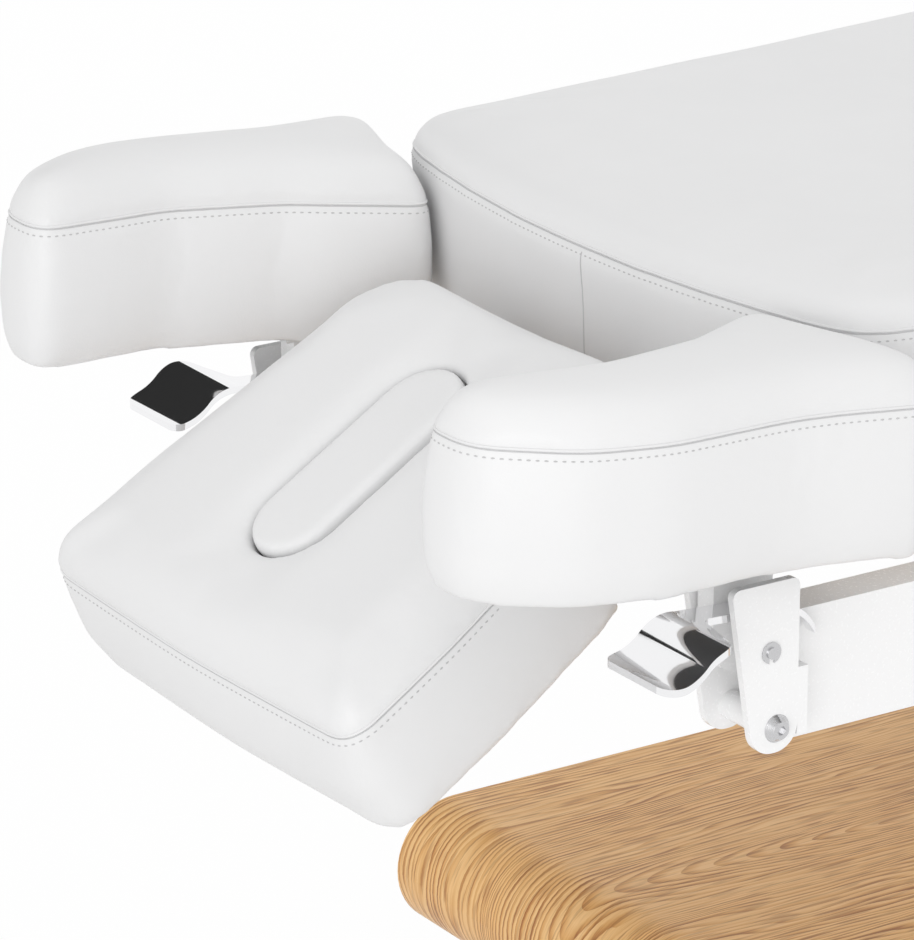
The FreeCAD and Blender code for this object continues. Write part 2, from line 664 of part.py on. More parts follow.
def crank(corners, hinge_y, tilt, x):
    plate = plate_x(corners, x)
    spare = SLOT_HALF_WIDTH - DRIVE_PIN_RADIUS
    start = slot_line(hinge_y, tilt, DRIVE_DROP + spare - PIN_OVERHANG)
    end = slot_line(hinge_y, tilt, DRIVE_DROP / math.cos(math.radians(tilt / 2)))
    along = unit(start, end)
    side = (-along[1] * SLOT_HALF_WIDTH, along[0] * SLOT_HALF_WIDTH)
    slot = plate_x([(start[0] - side[0], start[1] - side[1]), (end[0] - side[0], end[1] - side[1]),
                    (end[0] + side[0], end[1] + side[1]), (start[0] + side[0], start[1] + side[1])], x)
    slot = slot.fuse(rod_x(x, *start, SLOT_HALF_WIDTH)).fuse(rod_x(x, *end, SLOT_HALF_WIDTH))
    return plate.cut(slot)


def back_crank():
    tip = slot_line(BACK_HINGE_Y, BACK_TILT, DRIVE_DROP + 4 * SLOT_HALF_WIDTH)
    weld = BACK_HINGE_Y - ROLL_RADIUS / 2
    heel, toe, neck = BACK_CRANK_TIP
    corners = [(weld + BACK_CRANK_WELD[0], BOARD_BOTTOM),
               (weld + BACK_CRANK_WELD[1], BOARD_BOTTOM - BACK_CRANK_DEPTH),
               (BACK_HINGE_Y, DRIVE_Z - DRIVE_PIN_RADIUS),
               (tip[0] + heel[0], tip[1] + heel[1]), (tip[0] + toe[0], tip[1] + toe[1]),
               (tip[0] + neck[0], BOARD_BOTTOM + neck[1]), (weld, BOARD_BOTTOM)]
    return crank(corners, BACK_HINGE_Y, BACK_TILT, CRANK_X)


def leg_crank():
    tip = slot_line(LEG_HINGE_Y, LEG_TILT, DRIVE_DROP + 4 * SLOT_HALF_WIDTH)
    weld = LEG_HINGE_Y + ROLL_RADIUS / 2
    neck, heel, toe = LEG_CRANK_TIP
    corners = [(weld, BOARD_BOTTOM), (tip[0] + neck[0], DRIVE_Z + neck[1]),
               (tip[0] + heel[0], tip[1] + heel[1]), (tip[0] + toe[0], tip[1] + toe[1]),
               (weld + LEG_CRANK_WELD, BOARD_BOTTOM)]
    return crank(corners, LEG_HINGE_Y, LEG_TILT, (-CRANK_X[1], -CRANK_X[0]))


def actuator(front_y, way, x):
    """Tube, gearbox and motor; the rod leaves at front_y and way points from the front to the back."""
    back_y = front_y + way * TUBE_LENGTH
    end_y = back_y + way * GEARBOX
    out = 1 if x > 0 else -1
    motor_x = x + out * (GEARBOX / 2 + DRIVE_MOTOR_RADIUS)
    half = GEARBOX / 2
    across = sorted((x - out * half, motor_x + out * DRIVE_MOTOR_RADIUS))
    body = rod_y(sorted((front_y, back_y)), x, DRIVE_Z, TUBE_RADIUS)
    body = body.fuse(box(across, sorted((back_y, end_y)), (DRIVE_Z - half, DRIVE_Z + half)))
    motor = sorted((back_y, back_y - way * DRIVE_MOTOR_LENGTH))
    body = body.fuse(rod_y(motor, motor_x, DRIVE_Z, DRIVE_MOTOR_RADIUS))
    saddle_y = min(CROSS_YS, key=lambda y: abs(y - (front_y + way * TUBE_LENGTH / 2)))
    saddle_span = (saddle_y - SADDLE_HALF_LENGTH, saddle_y + SADDLE_HALF_LENGTH)
    body = body.fuse(box((x - TUBE_RADIUS / 2, x + TUBE_RADIUS / 2), saddle_span, (CROSS_TOP, DRIVE_Z)))
    bore = sorted((front_y, back_y))
    return body.cut(rod_y(bore, x, DRIVE_Z, ROD_RADIUS + RUN_GAP))


def actuator_rod(pin_y, inner_y, x):
    """Rod with a square eye and the cross pin that runs in the crank's slot."""
    out = 1 if x > 0 else -1
    eye_x = sorted((x - out * ROD_RADIUS, x + out * ROD_RADIUS))
    eye = box(eye_x, (pin_y - ROD_EYE, pin_y + ROD_EYE), (DRIVE_Z - ROD_EYE, DRIVE_Z + ROD_EYE))
    rod = rod_y(sorted((pin_y, inner_y)), x, DRIVE_Z, ROD_RADIUS)
    pin = rod_x(sorted((out * (CRANK_X[0] - PIN_OVERHANG), x)), pin_y, DRIVE_Z, DRIVE_PIN_RADIUS)
    return eye.fuse(rod).fuse(pin)


def back_drive():
    pin_y = drive_pin_y(BACK_HINGE_Y, BACK_TILT)
    front_y = pin_y + TUBE_FROM_PIN
    inner_y = front_y + TUBE_LENGTH - GEARBOX / 5
    return actuator(front_y, 1, DRIVE_X), actuator_rod(pin_y, inner_y, DRIVE_X)


def leg_drive():
    pin_y = drive_pin_y(LEG_HINGE_Y, LEG_TILT)
    stroke = 2 * (pin_y - LEG_HINGE_Y)
    front_y = pin_y - stroke - TUBE_FROM_PIN / 2
    inner_y = front_y - ROD_OVERLAP
    return actuator(front_y, -1, -DRIVE_X), actuator_rod(pin_y, inner_y, -DRIVE_X)


# Headrest, built flat on its slope and then tilted about its pivot

def slope(t, w):
    """Point (y, z) of the tilted headrest from its place up the slope and square to it."""
    tilt = math.radians(HEADREST_TILT)
    dt = t - PIVOT_T
    dw = w - PIVOT_W
    y = HEADREST_PIVOT_Y + dt * math.cos(tilt) - dw * math.sin(tilt)
    z = HEADREST_PIVOT_Z + dt * math.sin(tilt) + dw * math.cos(tilt)
    return (y, z)


def tilted(shape):
    moved = shape.copy()
    moved.translate(V(0, HEADREST_PIVOT_Y - PIVOT_T, HEADREST_PIVOT_Z - PIVOT_W))
    moved.rotate(V(0, HEADREST_PIVOT_Y, HEADREST_PIVOT_Z), V(1, 0, 0), HEADREST_TILT)
    return moved


def oblong(grow, w):
    """Upright block with round ends for the face opening, grown all round."""
    half = PLUG_WIDTH / 2 + grow
    run = (PLUG_LENGTH - PLUG_WIDTH) / 2
    ends = [rod_z(w, 0, PLUG_T + step * run, half) for step in (-1, 1)]
    middle = box((-half, half), (PLUG_T - run, PLUG_T + run), w)
    return middle.fuse(ends[0]).fuse(ends[1]).removeSplitter()


def headrest_cushion():
    corners = list(HEADREST_CORNERS) + [(-x, t) for x, t in reversed(HEADREST_CORNERS[1:])]
    radii = list(HEADREST_RADII) + list(reversed(HEADREST_RADII[1:]))
    levels = []
    for height, side, neck, head in HEADREST_PROFILE:
        insets = [side] * len(corners)
        insets[0] = head
        insets[-1] = head
        insets[len(HEADREST_CORNERS) - 1] = neck
        levels.append((height, insets))
    return tilted(pad(corners, radii, levels).cut(oblong(PLUG_GAP, (-HEADREST_BELOW_SEAM - 1, 2 * PLUG_TOP))))


def face_plug():
    body = oblong(0, (PLUG_TOP - PLUG_DEPTH, PLUG_TOP))
    rim = [edge for edge in body.Edges if edge.BoundBox.ZMin > PLUG_TOP - 0.01]
    return tilted(body.makeFillet(PLUG_EDGE, rim))


def headrest_board():
    half = HEADREST_BOARD_HALF_WIDTH
    t0, t1 = HEADREST_BOARD_T
    top = -HEADREST_BELOW_SEAM - SOFT_GAP
    corners = [(-half, t0), (half, t0), (half, t1), (-half, t1)]
    panel = prism_z(corners, HEADREST_BOARD_RADII, (top - BOARD, top))
    return tilted(panel.cut(oblong(PLUG_GAP, (top - BOARD - 1, top + 1))))


def headrest_arms():
    under = -HEADREST_BELOW_SEAM - SOFT_GAP - BOARD
    pivot = (HEADREST_PIVOT_Y, HEADREST_PIVOT_Z)
    t1 = HEADREST_BOARD_T[1]
    low = under - ARM_FOOT_DEPTH
    corners = [slope(t1 + ARM_FOOT[0], under), slope(t1 + ARM_FOOT[1], low), slope(t1 + ARM_FOOT[2], low),
               (pivot[0] + KNUCKLE_RADIUS, pivot[1] - ARM_NECK_BACK), (pivot[0] + KNUCKLE_RADIUS, pivot[1]),
               (pivot[0] - KNUCKLE_RADIUS, pivot[1])]
    corners += [(pivot[0] + y, pivot[1] + z) for y, z in ARM_NECK]
    corners.append(slope(t1, under))
    arm = plate_x(corners, KNUCKLE_X).fuse(rod_x(KNUCKLE_X, *pivot, KNUCKLE_RADIUS))
    return pair(arm.cut(rod_x(KNUCKLE_X, *pivot, PIVOT_ROD_RADIUS + RUN_GAP)))


def headrest_brackets():
    """Ears under the back board that hold the headrest's rod."""
    low = BOARD_BOTTOM - EAR_FLANGE
    head_y = HEADREST_PIVOT_Y - EAR_RADIUS
    foot_y = HEADREST_PIVOT_Y + EAR_RADIUS
    corners = [(head_y, HEADREST_PIVOT_Z), (head_y + EAR_LEAN, low), (foot_y + EAR_LEAN, low),
               (foot_y, HEADREST_PIVOT_Z)]
    ear = plate_x(corners, EAR_X).fuse(rod_x(EAR_X, HEADREST_PIVOT_Y, HEADREST_PIVOT_Z, EAR_RADIUS))
    end_y = BACK_HEAD_Y + BACK_CORNER + EAR_FLANGE_LENGTH / 2
    ear = ear.fuse(box(EAR_FLANGE_X, (head_y + EAR_LEAN, end_y), (low, BOARD_BOTTOM)))
    return pair(ear.cut(rod_x(EAR_X, HEADREST_PIVOT_Y, HEADREST_PIVOT_Z, PIVOT_ROD_RADIUS)))


def headrest_rod():
    reach = EAR_X[1] + EAR_RADIUS
    return rod_x((-reach, reach), HEADREST_PIVOT_Y, HEADREST_PIVOT_Z, PIVOT_ROD_RADIUS)


def headrest_washers():
    """Friction washers on the rod, on both faces of each ear."""
    washers = []
    for start in (EAR_X[0] - WASHER, EAR_X[1]):
        ring = rod_x((start, start + WASHER), HEADREST_PIVOT_Y, HEADREST_PIVOT_Z, KNUCKLE_RADIUS)
        hole = rod_x((start, start + WASHER), HEADREST_PIVOT_Y, HEADREST_PIVOT_Z, PIVOT_ROD_RADIUS)
        washers.append(pair(ring.cut(hole)))
    return group(washers)


# Armrests. Each is built level at its own seam and then pitched; only the right one is built and mirrored.

def pitched(shape):
    moved = shape.copy()
    moved.translate(V(0, PIN_Y - ARM_HEAD_FROM_PIN, ARM_SEAM_Z))
    moved.rotate(V(0, PIN_Y - ARM_HEAD_FROM_PIN, ARM_SEAM_Z), V(1, 0, 0), -ARM_PITCH)
    return moved


def arm_board_block(grow, w):
    insets = [ARM_BOARD_INSET - grow] * len(ARM_CORNERS)
    corners = inset_corners(ARM_CORNERS, insets)
    return prism_z(corners, inset_radii(ARM_CORNERS, ARM_RADII, insets, 4.0), w)


def armrest_cushion():
    low = -ARM_BELOW_SEAM
    profile = [(low + rise, inset) for rise, inset in ARM_LOW_PROFILE]
    profile += [(share * ARM_CROWN, inset) for share, inset in ARM_CROWN_PROFILE]
    levels = [(height, [side] * len(ARM_CORNERS)) for height, side in profile]
    recess = arm_board_block(SOFT_GAP, (low - 1, low + BOARD + SOFT_GAP))
    return pitched(pad(ARM_CORNERS, ARM_RADII, levels).cut(recess))


def armrest_board():
    return pitched(arm_board_block(0, (-ARM_BELOW_SEAM, BOARD - ARM_BELOW_SEAM)))


def armrest_lug():
    """Knuckle between the bracket plates, with a flange under the board and the lever's stub pin."""
    flange_y = (ARM_HEAD_FROM_PIN - LUG_RADIUS, ARM_HEAD_FROM_PIN + LUG_RADIUS + PLATE_BEHIND)
    flange_x = (LUG_X[0], LEVER_STEM_X[1])
    above = box(flange_x, (0, max(y for x, y in ARM_CORNERS)), (-ARM_BELOW_SEAM, 0))
    flange = pitched(box(flange_x, flange_y, (-ARM_BELOW_SEAM - LUG_FLANGE, -ARM_BELOW_SEAM)))
    web = box(LUG_X, (PIN_Y - LUG_RADIUS, PIN_Y + LUG_RADIUS), (PIN_Z, ARM_SEAM_Z - ARM_BELOW_SEAM))
    lug = web.cut(pitched(above)).fuse(rod_x(LUG_X, PIN_Y, PIN_Z, LUG_RADIUS)).fuse(flange)
    stub_at = (PIN_Y + LEVER_PIVOT[0], PIN_Z + LEVER_PIVOT[1])
    stub = rod_x((LUG_X[1], LEVER_STEM_X[1]), *stub_at, LEVER_PIN_RADIUS)
    return lug.fuse(stub).cut(rod_x(LUG_X, PIN_Y, PIN_Z, PIN_RADIUS + RUN_GAP))


def bracket_plates():
    y0 = PIN_Y - PLATE_AHEAD
    y1 = PIN_Y + PLATE_BEHIND
    z0 = PIN_Z - PLATE_BELOW
    z1 = PIN_Z + PLATE_ABOVE
    corners = [(y0 + PLATE_SLANT, z0), (y1, z0), (y1, z1), (y0, z1)]
    plates = []
    for span in (PLATE_INNER_X, PLATE_OUTER_X):
        plate = prism_x(corners, [PLATE_CORNER, PLATE_CORNER, PLATE_TOP_CORNER, PLATE_TOP_CORNER], span)
        plate = plate.cut(rod_x(span, PIN_Y, PIN_Z, PIN_RADIUS))
        plates.append(pair(plate.cut(rod_x(span, PIN_Y + SCREW_BEHIND, PIN_Z - SCREW_BELOW, SCREW_RADIUS))))
    return group(plates)


def bracket_end_plates():
    start = PIN_Y + PLATE_BEHIND
    rise = (PIN_Z - PLATE_BELOW + PLATE_CORNER / 2, PIN_Z + END_PLATE_ABOVE)
    return pair(box((PLATE_INNER_X[0], PLATE_OUTER_X[1]), (start, start + END_PLATE), rise))


def armrest_pins():
    spare = 2 * CLIP
    return pair(rod_x((PLATE_INNER_X[0] - spare, PLATE_OUTER_X[1] + spare), PIN_Y, PIN_Z, PIN_RADIUS))


def pin_clips():
    clips = []
    for start in (PLATE_INNER_X[0] - CLIP, PLATE_OUTER_X[1]):
        span = (start, start + CLIP)
        ring = rod_x(span, PIN_Y, PIN_Z, CLIP_RADIUS).cut(rod_x(span, PIN_Y, PIN_Z, PIN_RADIUS))
        mouth = box(span, (PIN_Y - PIN_RADIUS / 2, PIN_Y + PIN_RADIUS / 2), (PIN_Z - CLIP_RADIUS, PIN_Z))
        clips.append(pair(ring.cut(mouth)))
    return group(clips)


def hexagon(x, y, z, radius):
    corners = [(y + radius * math.cos(math.radians(60 * i)), z + radius * math.sin(math.radians(60 * i)))
               for i in range(6)]
    return plate_x(corners, x)


def bracket_screws():
    y = PIN_Y + SCREW_BEHIND
    z = PIN_Z - SCREW_BELOW
    face = PLATE_OUTER_X[1]
    head = Part.makeCone(SCREW_HEAD_RADIUS, SCREW_HEAD_TOP_RADIUS, SCREW_HEAD, V(face, y, z), V(1, 0, 0))
    head = head.cut(hexagon((face + SCREW_HEAD / 2, face + SCREW_HEAD + 1), y, z, SCREW_SOCKET_RADIUS))
    return pair(head.fuse(rod_x((PLATE_INNER_X[0] - NUT_HEIGHT - SCREW_OVERHANG, face), y, z, SCREW_RADIUS)))


def bracket_spacers():
    y = PIN_Y + SCREW_BEHIND
    z = PIN_Z - SCREW_BELOW
    span = (PLATE_INNER_X[1], PLATE_OUTER_X[0])
    return pair(rod_x(span, y, z, SPACER_RADIUS).cut(rod_x(span, y, z, SCREW_RADIUS)))


def bracket_nuts():
    y = PIN_Y + SCREW_BEHIND
    z = PIN_Z - SCREW_BELOW
    span = (PLATE_INNER_X[0] - NUT_HEIGHT, PLATE_INNER_X[0])
    return pair(hexagon(span, y, z, NUT_RADIUS).cut(rod_x(span, y, z, SCREW_RADIUS)))


def lever_profile(shift):
    """Side view of the lever from its front edge to its tail, moved up by shift, as edges."""
    at = [V(0, PIN_Y + y, PIN_Z + z + shift) for y, z in LEVER_SIDE]
    return [Part.Arc(at[0], at[1], at[2]).toShape(), Part.Arc(at[2], at[3], at[4]).toShape(),
            Part.LineSegment(at[4], at[5]).toShape(), Part.Arc(at[5], at[6], at[7]).toShape()]


def armrest_lever():
    upper = lever_profile(LEVER_HALF_THICK)
    lower = lever_profile(-LEVER_HALF_THICK)
    ends = [Part.LineSegment(low.Vertexes[side].Point, high.Vertexes[side].Point).toShape()
            for low, high, side in ((lower[0], upper[0], 0), (lower[-1], upper[-1], -1))]
    wire = Part.Wire(Part.__sortEdges__(upper + lower + ends))
    plan = [(x, PIN_Y + y) for x, y in LEVER_PLAN]
    widest = max(x for x, y in LEVER_PLAN)
    sheet = Part.Face(wire).extrude(V(widest, 0, 0))
    cutter = prism_z(plan, LEVER_PLAN_RADII, (PIN_Z - BEAM_HEIGHT, PIN_Z + BEAM_HEIGHT))
    barrel_at = (PIN_Y + LEVER_PIVOT[0], PIN_Z + LEVER_PIVOT[1])
    lever = sheet.common(cutter).fuse(rod_x(LEVER_STEM_X, *barrel_at, LEVER_BARREL))
    return lever.cut(rod_x(LEVER_STEM_X, *barrel_at, LEVER_PIN_RADIUS + RUN_GAP))


# All nodes

def all_nodes():
    back_actuator, back_actuator_rod = back_drive()
    leg_actuator, leg_actuator_rod = leg_drive()
    back_end = BACK_HINGE_Y - ROLL_RADIUS / 2
    back_beam_y = (BEAM_HEAD_Y, SEAT_BEAM_Y[0] - ROLL_RADIUS)
    back_riser_ys = (back_beam_y[0] + 2 * RISER_SETBACK, back_end - 2 * RISER_SETBACK)
    seat_riser_ys = (SEAT_HEAD_Y + RISER_SETBACK / 2, SEAT_FOOT_Y - RISER_SETBACK / 2)
    right_arm = {"cushion": armrest_cushion(), "board": armrest_board(), "lug": armrest_lug(),
                 "lever": armrest_lever()}
    nodes = {
        "base_shell": base_shell(),
        "base_sides": base_sides(),
        "base_plate": base_plate(),
        "foot_pads": foot_pads(),
        "foot_stems": foot_stems(),
        "power_inlet": power_inlet(),
        "column_outer_tubes": column_tube(0, (BASE_FLOOR, COLUMN_TOP - OUTER_TOP_DROP)),
        "column_middle_tubes": column_tube(1, (BASE_FLOOR + STAGE_FLOOR_STEP, COLUMN_TOP - MIDDLE_TOP_DROP)),
        "column_inner_tubes": column_tube(2, (BASE_FLOOR + 2 * STAGE_FLOOR_STEP, COLUMN_TOP)),
        "lift_motors": lift_motors(),
        "column_top_plates": column_top_plates(),
        "chassis_rails": pair(box(RAIL_X, RAIL_Y, (RAIL_BOTTOM, RAIL_TOP))),
        "chassis_cross_tubes": cross_tubes(),
        "seat_beams": pair(box(BEAM_X, SEAT_BEAM_Y, (BEAM_BOTTOM, BEAM_TOP))),
        "seat_risers": risers(seat_riser_ys),
        "seat_board": seat_board(),
        "seat_cushion": seat_cushion(),
        "control_box": control_box(),
        "back_hinge_cheeks": hinge_cheeks(BACK_HINGE_Y, 1),
        "leg_hinge_cheeks": hinge_cheeks(LEG_HINGE_Y, -1),
        "hinge_caps": hinge_caps(),
        "back_actuator": back_actuator,
        "leg_actuator": leg_actuator,
        "back_actuator_rod": back_actuator_rod,
        "leg_actuator_rod": leg_actuator_rod,
        "back_cushion": back_cushion(),
        "back_board": back_board(),
        "back_beams": pair(box(BEAM_X, back_beam_y, (BEAM_BOTTOM, BEAM_TOP))),
        "back_risers": risers(back_riser_ys),
        "back_hinge_arms": hinge_arms(BACK_HINGE_Y, -1),
        "back_hinge_pins": hinge_pins(BACK_HINGE_Y),
        "back_crank": back_crank(),
        "leg_cushion": leg_cushion(),
        "leg_board": leg_board(),
        "leg_rails": leg_rails(),
        "leg_hinge_arms": hinge_arms(LEG_HINGE_Y, 1),
        "leg_hinge_pins": hinge_pins(LEG_HINGE_Y),
        "leg_crank": leg_crank(),
        "headrest_cushion": headrest_cushion(),
        "headrest_board": headrest_board(),
        "headrest_arms": headrest_arms(),
        "face_plug": face_plug(),
        "headrest_brackets": headrest_brackets(),
        "headrest_rod": headrest_rod(),
        "headrest_washers": headrest_washers(),
        "bracket_plates": bracket_plates(),
        "bracket_end_plates": bracket_end_plates(),
        "armrest_pins": armrest_pins(),
        "pin_clips": pin_clips(),
        "bracket_screws": bracket_screws(),
        "bracket_spacers": bracket_spacers(),
        "bracket_nuts": bracket_nuts(),
    }
    for piece, shape in right_arm.items():
        nodes["armrest_" + piece + "_right"] = shape
        nodes["armrest_" + piece + "_left"] = mirrored(shape)
    return nodes


def main():
    os.makedirs("parts", exist_ok=True)
    for name, shape in all_nodes().items():
        solids = shape.Solids
        sound = all(solid.isValid() and solid.Volume > 0 for solid in solids)
        state = "sound" if sound else "NOT SOUND"
        print(name, len(solids), "solids", state, round(shape.Volume / 1000), "cm3")
        shape.exportStep("parts/" + name + ".step")


main()
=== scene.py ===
# %% [markdown]
# # A facial bed, dressed in Blender
# The bed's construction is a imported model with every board, tube and screw at its real size.
# This script keeps that model as a fixed frame and adds what a camera sees: stuffed cushions with
# sewn edges, oak veneer, white paint, chrome and steel. Everything is in metres: X runs across the
# bed, Y from the head end to the foot end and Z up.

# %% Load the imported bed
import json
import math

import bmesh
import bpy
from mathutils import Matrix, Vector


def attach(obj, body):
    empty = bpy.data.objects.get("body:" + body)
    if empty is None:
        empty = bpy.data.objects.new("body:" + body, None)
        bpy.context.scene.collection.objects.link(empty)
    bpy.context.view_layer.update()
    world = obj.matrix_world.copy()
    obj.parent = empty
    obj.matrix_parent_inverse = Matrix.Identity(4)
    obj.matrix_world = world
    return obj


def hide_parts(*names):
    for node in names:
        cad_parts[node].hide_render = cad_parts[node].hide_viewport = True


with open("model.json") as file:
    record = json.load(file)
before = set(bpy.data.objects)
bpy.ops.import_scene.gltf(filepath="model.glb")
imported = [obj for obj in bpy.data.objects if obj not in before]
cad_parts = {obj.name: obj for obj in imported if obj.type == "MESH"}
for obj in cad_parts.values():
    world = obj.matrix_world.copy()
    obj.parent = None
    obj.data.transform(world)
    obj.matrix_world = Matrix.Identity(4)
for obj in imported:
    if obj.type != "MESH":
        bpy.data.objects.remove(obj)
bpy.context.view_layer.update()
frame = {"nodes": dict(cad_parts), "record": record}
nodes = frame["nodes"]
scene = bpy.context.scene

# %% [markdown]
# ## The camera
# The photograph was taken from the head end, over the right armrest, with a long lens. The place and
# the lens were worked out from edges of known direction. The lens comes from a focal length in pixels,
# because a sensor's width belongs to the picture's longer side.

# %% Set the camera
PICTURE = (914, 940)
FOCAL_PIXELS = 5500.0
SENSOR = 36.0
CAMERA_PLACE = (3.0061, -2.6857, 1.8170)
TO_CAMERA = Vector((0.7888, -0.5157, 0.3345))
lens = bpy.data.cameras.new("photo_camera")
lens.sensor_width = SENSOR
lens.lens = FOCAL_PIXELS * SENSOR / max(PICTURE)
lens.clip_end = 100.0
camera = bpy.data.objects.new("photo_camera", lens)
camera.location = CAMERA_PLACE
camera.rotation_mode = "QUATERNION"
camera.rotation_quaternion = TO_CAMERA.to_track_quat("Z", "Y")
scene.collection.objects.link(camera)
scene.camera = camera
print("camera lens", round(lens.lens, 1), "mm")

# %% [markdown]
# ## Node helpers
# Every finish below is a node tree. Two small helpers keep those trees readable: one adds a node and
# fills in its sockets, and one starts a material with a Principled shader.


# %% Helpers for node trees
def add_node(tree, kind, settings=None, **sockets):
    """New node; settings are its own fields and sockets are named inputs, as values or links."""
    made = tree.nodes.new(kind)
    for field, value in (settings or {}).items():
        setattr(made, field, value)
    for name, value in sockets.items():
        key = int(name[1:]) if name[0] == "i" and name[1:].isdigit() else name.replace("_", " ")
        if isinstance(value, bpy.types.NodeSocket):
            tree.links.new(value, made.inputs[key])
        else:
            made.inputs[key].default_value = value
    return made


def start_finish(name):
    """Material with one Principled shader; gives material, tree, shader and object coordinates."""
    finish = bpy.data.materials.new(name)
    finish.use_nodes = True
    tree = finish.node_tree
    shader = tree.nodes["Principled BSDF"]
    place = add_node(tree, "ShaderNodeTexCoord").outputs["Object"]
    return finish, tree, shader, place


# %% [markdown]
# ## The studio
# The bed stands on a white floor in a white room. Soft light comes from the whole room, and one large
# softbox near the camera lifts the upright faces, as in the photograph. The floor and the room show
# as plain white to the camera and in mirrors. The floor is still partly a lit surface, so it keeps
# the bed's shadow.

# %% Light the room and lay the floor
ROOM_LIGHT = 0.94
FLOOR_GLOW = 0.97
FLOOR_PAINT = (0.9, 0.9, 0.9, 1)
FLOOR_HALF = 15.0
WHITE = (1, 1, 1, 1)
SOFTBOX_PLACE = (3.2, -3.4, 1.1)
SOFTBOX_TARGET = (0, -0.3, 0.5)
SOFTBOX_SIZE = 2.5
SOFTBOX_POWER = 44.0


def seen_directly(tree):
    """1 for rays from the camera and in mirrors or glass, 0 for the light that falls on surfaces."""
    path = add_node(tree, "ShaderNodeLightPath")
    either = add_node(tree, "ShaderNodeMath", {"operation": "MAXIMUM"},
                      i0=path.outputs["Is Camera Ray"], i1=path.outputs["Is Glossy Ray"])
    every = add_node(tree, "ShaderNodeMath", {"operation": "MAXIMUM"},
                     i0=either.outputs[0], i1=path.outputs["Is Transmission Ray"])
    return every.outputs[0]


room = bpy.data.worlds.new("white_room")
room.use_nodes = True
room_tree = room.node_tree
room_tree.nodes.clear()
soft_light = add_node(room_tree, "ShaderNodeBackground", Color=WHITE, Strength=ROOM_LIGHT)
white_wall = add_node(room_tree, "ShaderNodeBackground", Color=WHITE, Strength=1.0)
room_mix = add_node(room_tree, "ShaderNodeMixShader", i0=seen_directly(room_tree),
                    i1=soft_light.outputs[0], i2=white_wall.outputs[0])
add_node(room_tree, "ShaderNodeOutputWorld", Surface=room_mix.outputs[0])
scene.world = room

floor_finish = bpy.data.materials.new("studio_floor")
floor_finish.use_nodes = True
floor_tree = floor_finish.node_tree
floor_tree.nodes.clear()
floor_lit = add_node(floor_tree, "ShaderNodeBsdfDiffuse", Color=FLOOR_PAINT)
floor_white = add_node(floor_tree, "ShaderNodeEmission", Color=WHITE, Strength=1.0)
glow = add_node(floor_tree, "ShaderNodeMath", {"operation": "MULTIPLY"},
                i0=seen_directly(floor_tree), i1=FLOOR_GLOW)
floor_mix = add_node(floor_tree, "ShaderNodeMixShader", i0=glow.outputs[0],
                     i1=floor_lit.outputs[0], i2=floor_white.outputs[0])
add_node(floor_tree, "ShaderNodeOutputMaterial", Surface=floor_mix.outputs[0])

floor_mesh = bpy.data.meshes.new("studio_floor")
floor_form = bmesh.new()
bmesh.ops.create_grid(floor_form, x_segments=1, y_segments=1, size=FLOOR_HALF)
floor_form.to_mesh(floor_mesh)
floor_form.free()
floor_mesh.materials.append(floor_finish)
floor = bpy.data.objects.new("studio_floor", floor_mesh)
scene.collection.objects.link(floor)


def softbox(name, place, target, size, power):
    """Square lamp at a place, facing a target."""
    lamp = bpy.data.lights.new(name, "AREA")
    lamp.size = size
    lamp.energy = power
    holder = bpy.data.objects.new(name, lamp)
    holder.location = place
    holder.rotation_mode = "QUATERNION"
    holder.rotation_quaternion = (Vector(place) - Vector(target)).to_track_quat("Z", "Y")
    scene.collection.objects.link(holder)


softbox("front_softbox", SOFTBOX_PLACE, SOFTBOX_TARGET, SOFTBOX_SIZE, SOFTBOX_POWER)
scene.view_settings.view_transform = "Standard"
print("room light", ROOM_LIGHT, "and one softbox")

# %% [markdown]
# ## White leatherette
# The covers are coated fabric: a fine pebbled grain of about a millimetre, faint broad creases and a
# satin shine that is never quite even. A photograph of leather could be wrapped round each cushion,
# but cushions have no good unwrapping. Patterns in object space need none, so the grain, the creases,
# the uneven shine and the faint tint are four of them at four scales.

# %% Make the leatherette
PEBBLE_SCALE = 820.0
CREASE_SCALE = 16.0
PATCH_SCALE = 6.0
RUBBED_SCALE = 34.0
LEATHER_SHINE = (0.36, 0.52)
PALE_LEATHER = (0.790, 0.790, 0.793)
DEEP_LEATHER = (0.760, 0.760, 0.763)


def leatherette(name, pale, deep):
    """Coated fabric whose colour wanders between two whites."""
    finish, tree, shader, place = start_finish(name)
    patches = add_node(tree, "ShaderNodeTexNoise", Vector=place, Scale=PATCH_SCALE, Detail=2.0)
    tint = add_node(tree, "ShaderNodeMix", {"data_type": "RGBA"}, Factor=patches.outputs["Fac"])
    tint.inputs[6].default_value = (*deep, 1)
    tint.inputs[7].default_value = (*pale, 1)
    tree.links.new(tint.outputs[2], shader.inputs["Base Color"])
    rubbed = add_node(tree, "ShaderNodeTexNoise", Vector=place, Scale=RUBBED_SCALE, Detail=4.0)
    shine = add_node(tree, "ShaderNodeMapRange", Value=rubbed.outputs["Fac"],
                     To_Min=LEATHER_SHINE[0], To_Max=LEATHER_SHINE[1])
    tree.links.new(shine.outputs[0], shader.inputs["Roughness"])
    pebbles = add_node(tree, "ShaderNodeTexVoronoi", {"feature": "SMOOTH_F1"}, Vector=place,
                       Scale=PEBBLE_SCALE)
    creases = add_node(tree, "ShaderNodeTexNoise", Vector=place, Scale=CREASE_SCALE, Detail=3.0,
                       Distortion=0.6)
    soft = add_node(tree, "ShaderNodeBump", Strength=0.10, Distance=0.004, Height=creases.outputs["Fac"])
    grain = add_node(tree, "ShaderNodeBump", {"invert": True}, Strength=0.10, Distance=0.0004,
                     Height=pebbles.outputs["Distance"], Normal=soft.outputs[0])
    tree.links.new(grain.outputs[0], shader.inputs["Normal"])
    shader.inputs["Specular IOR Level"].default_value = 0.42
    return finish


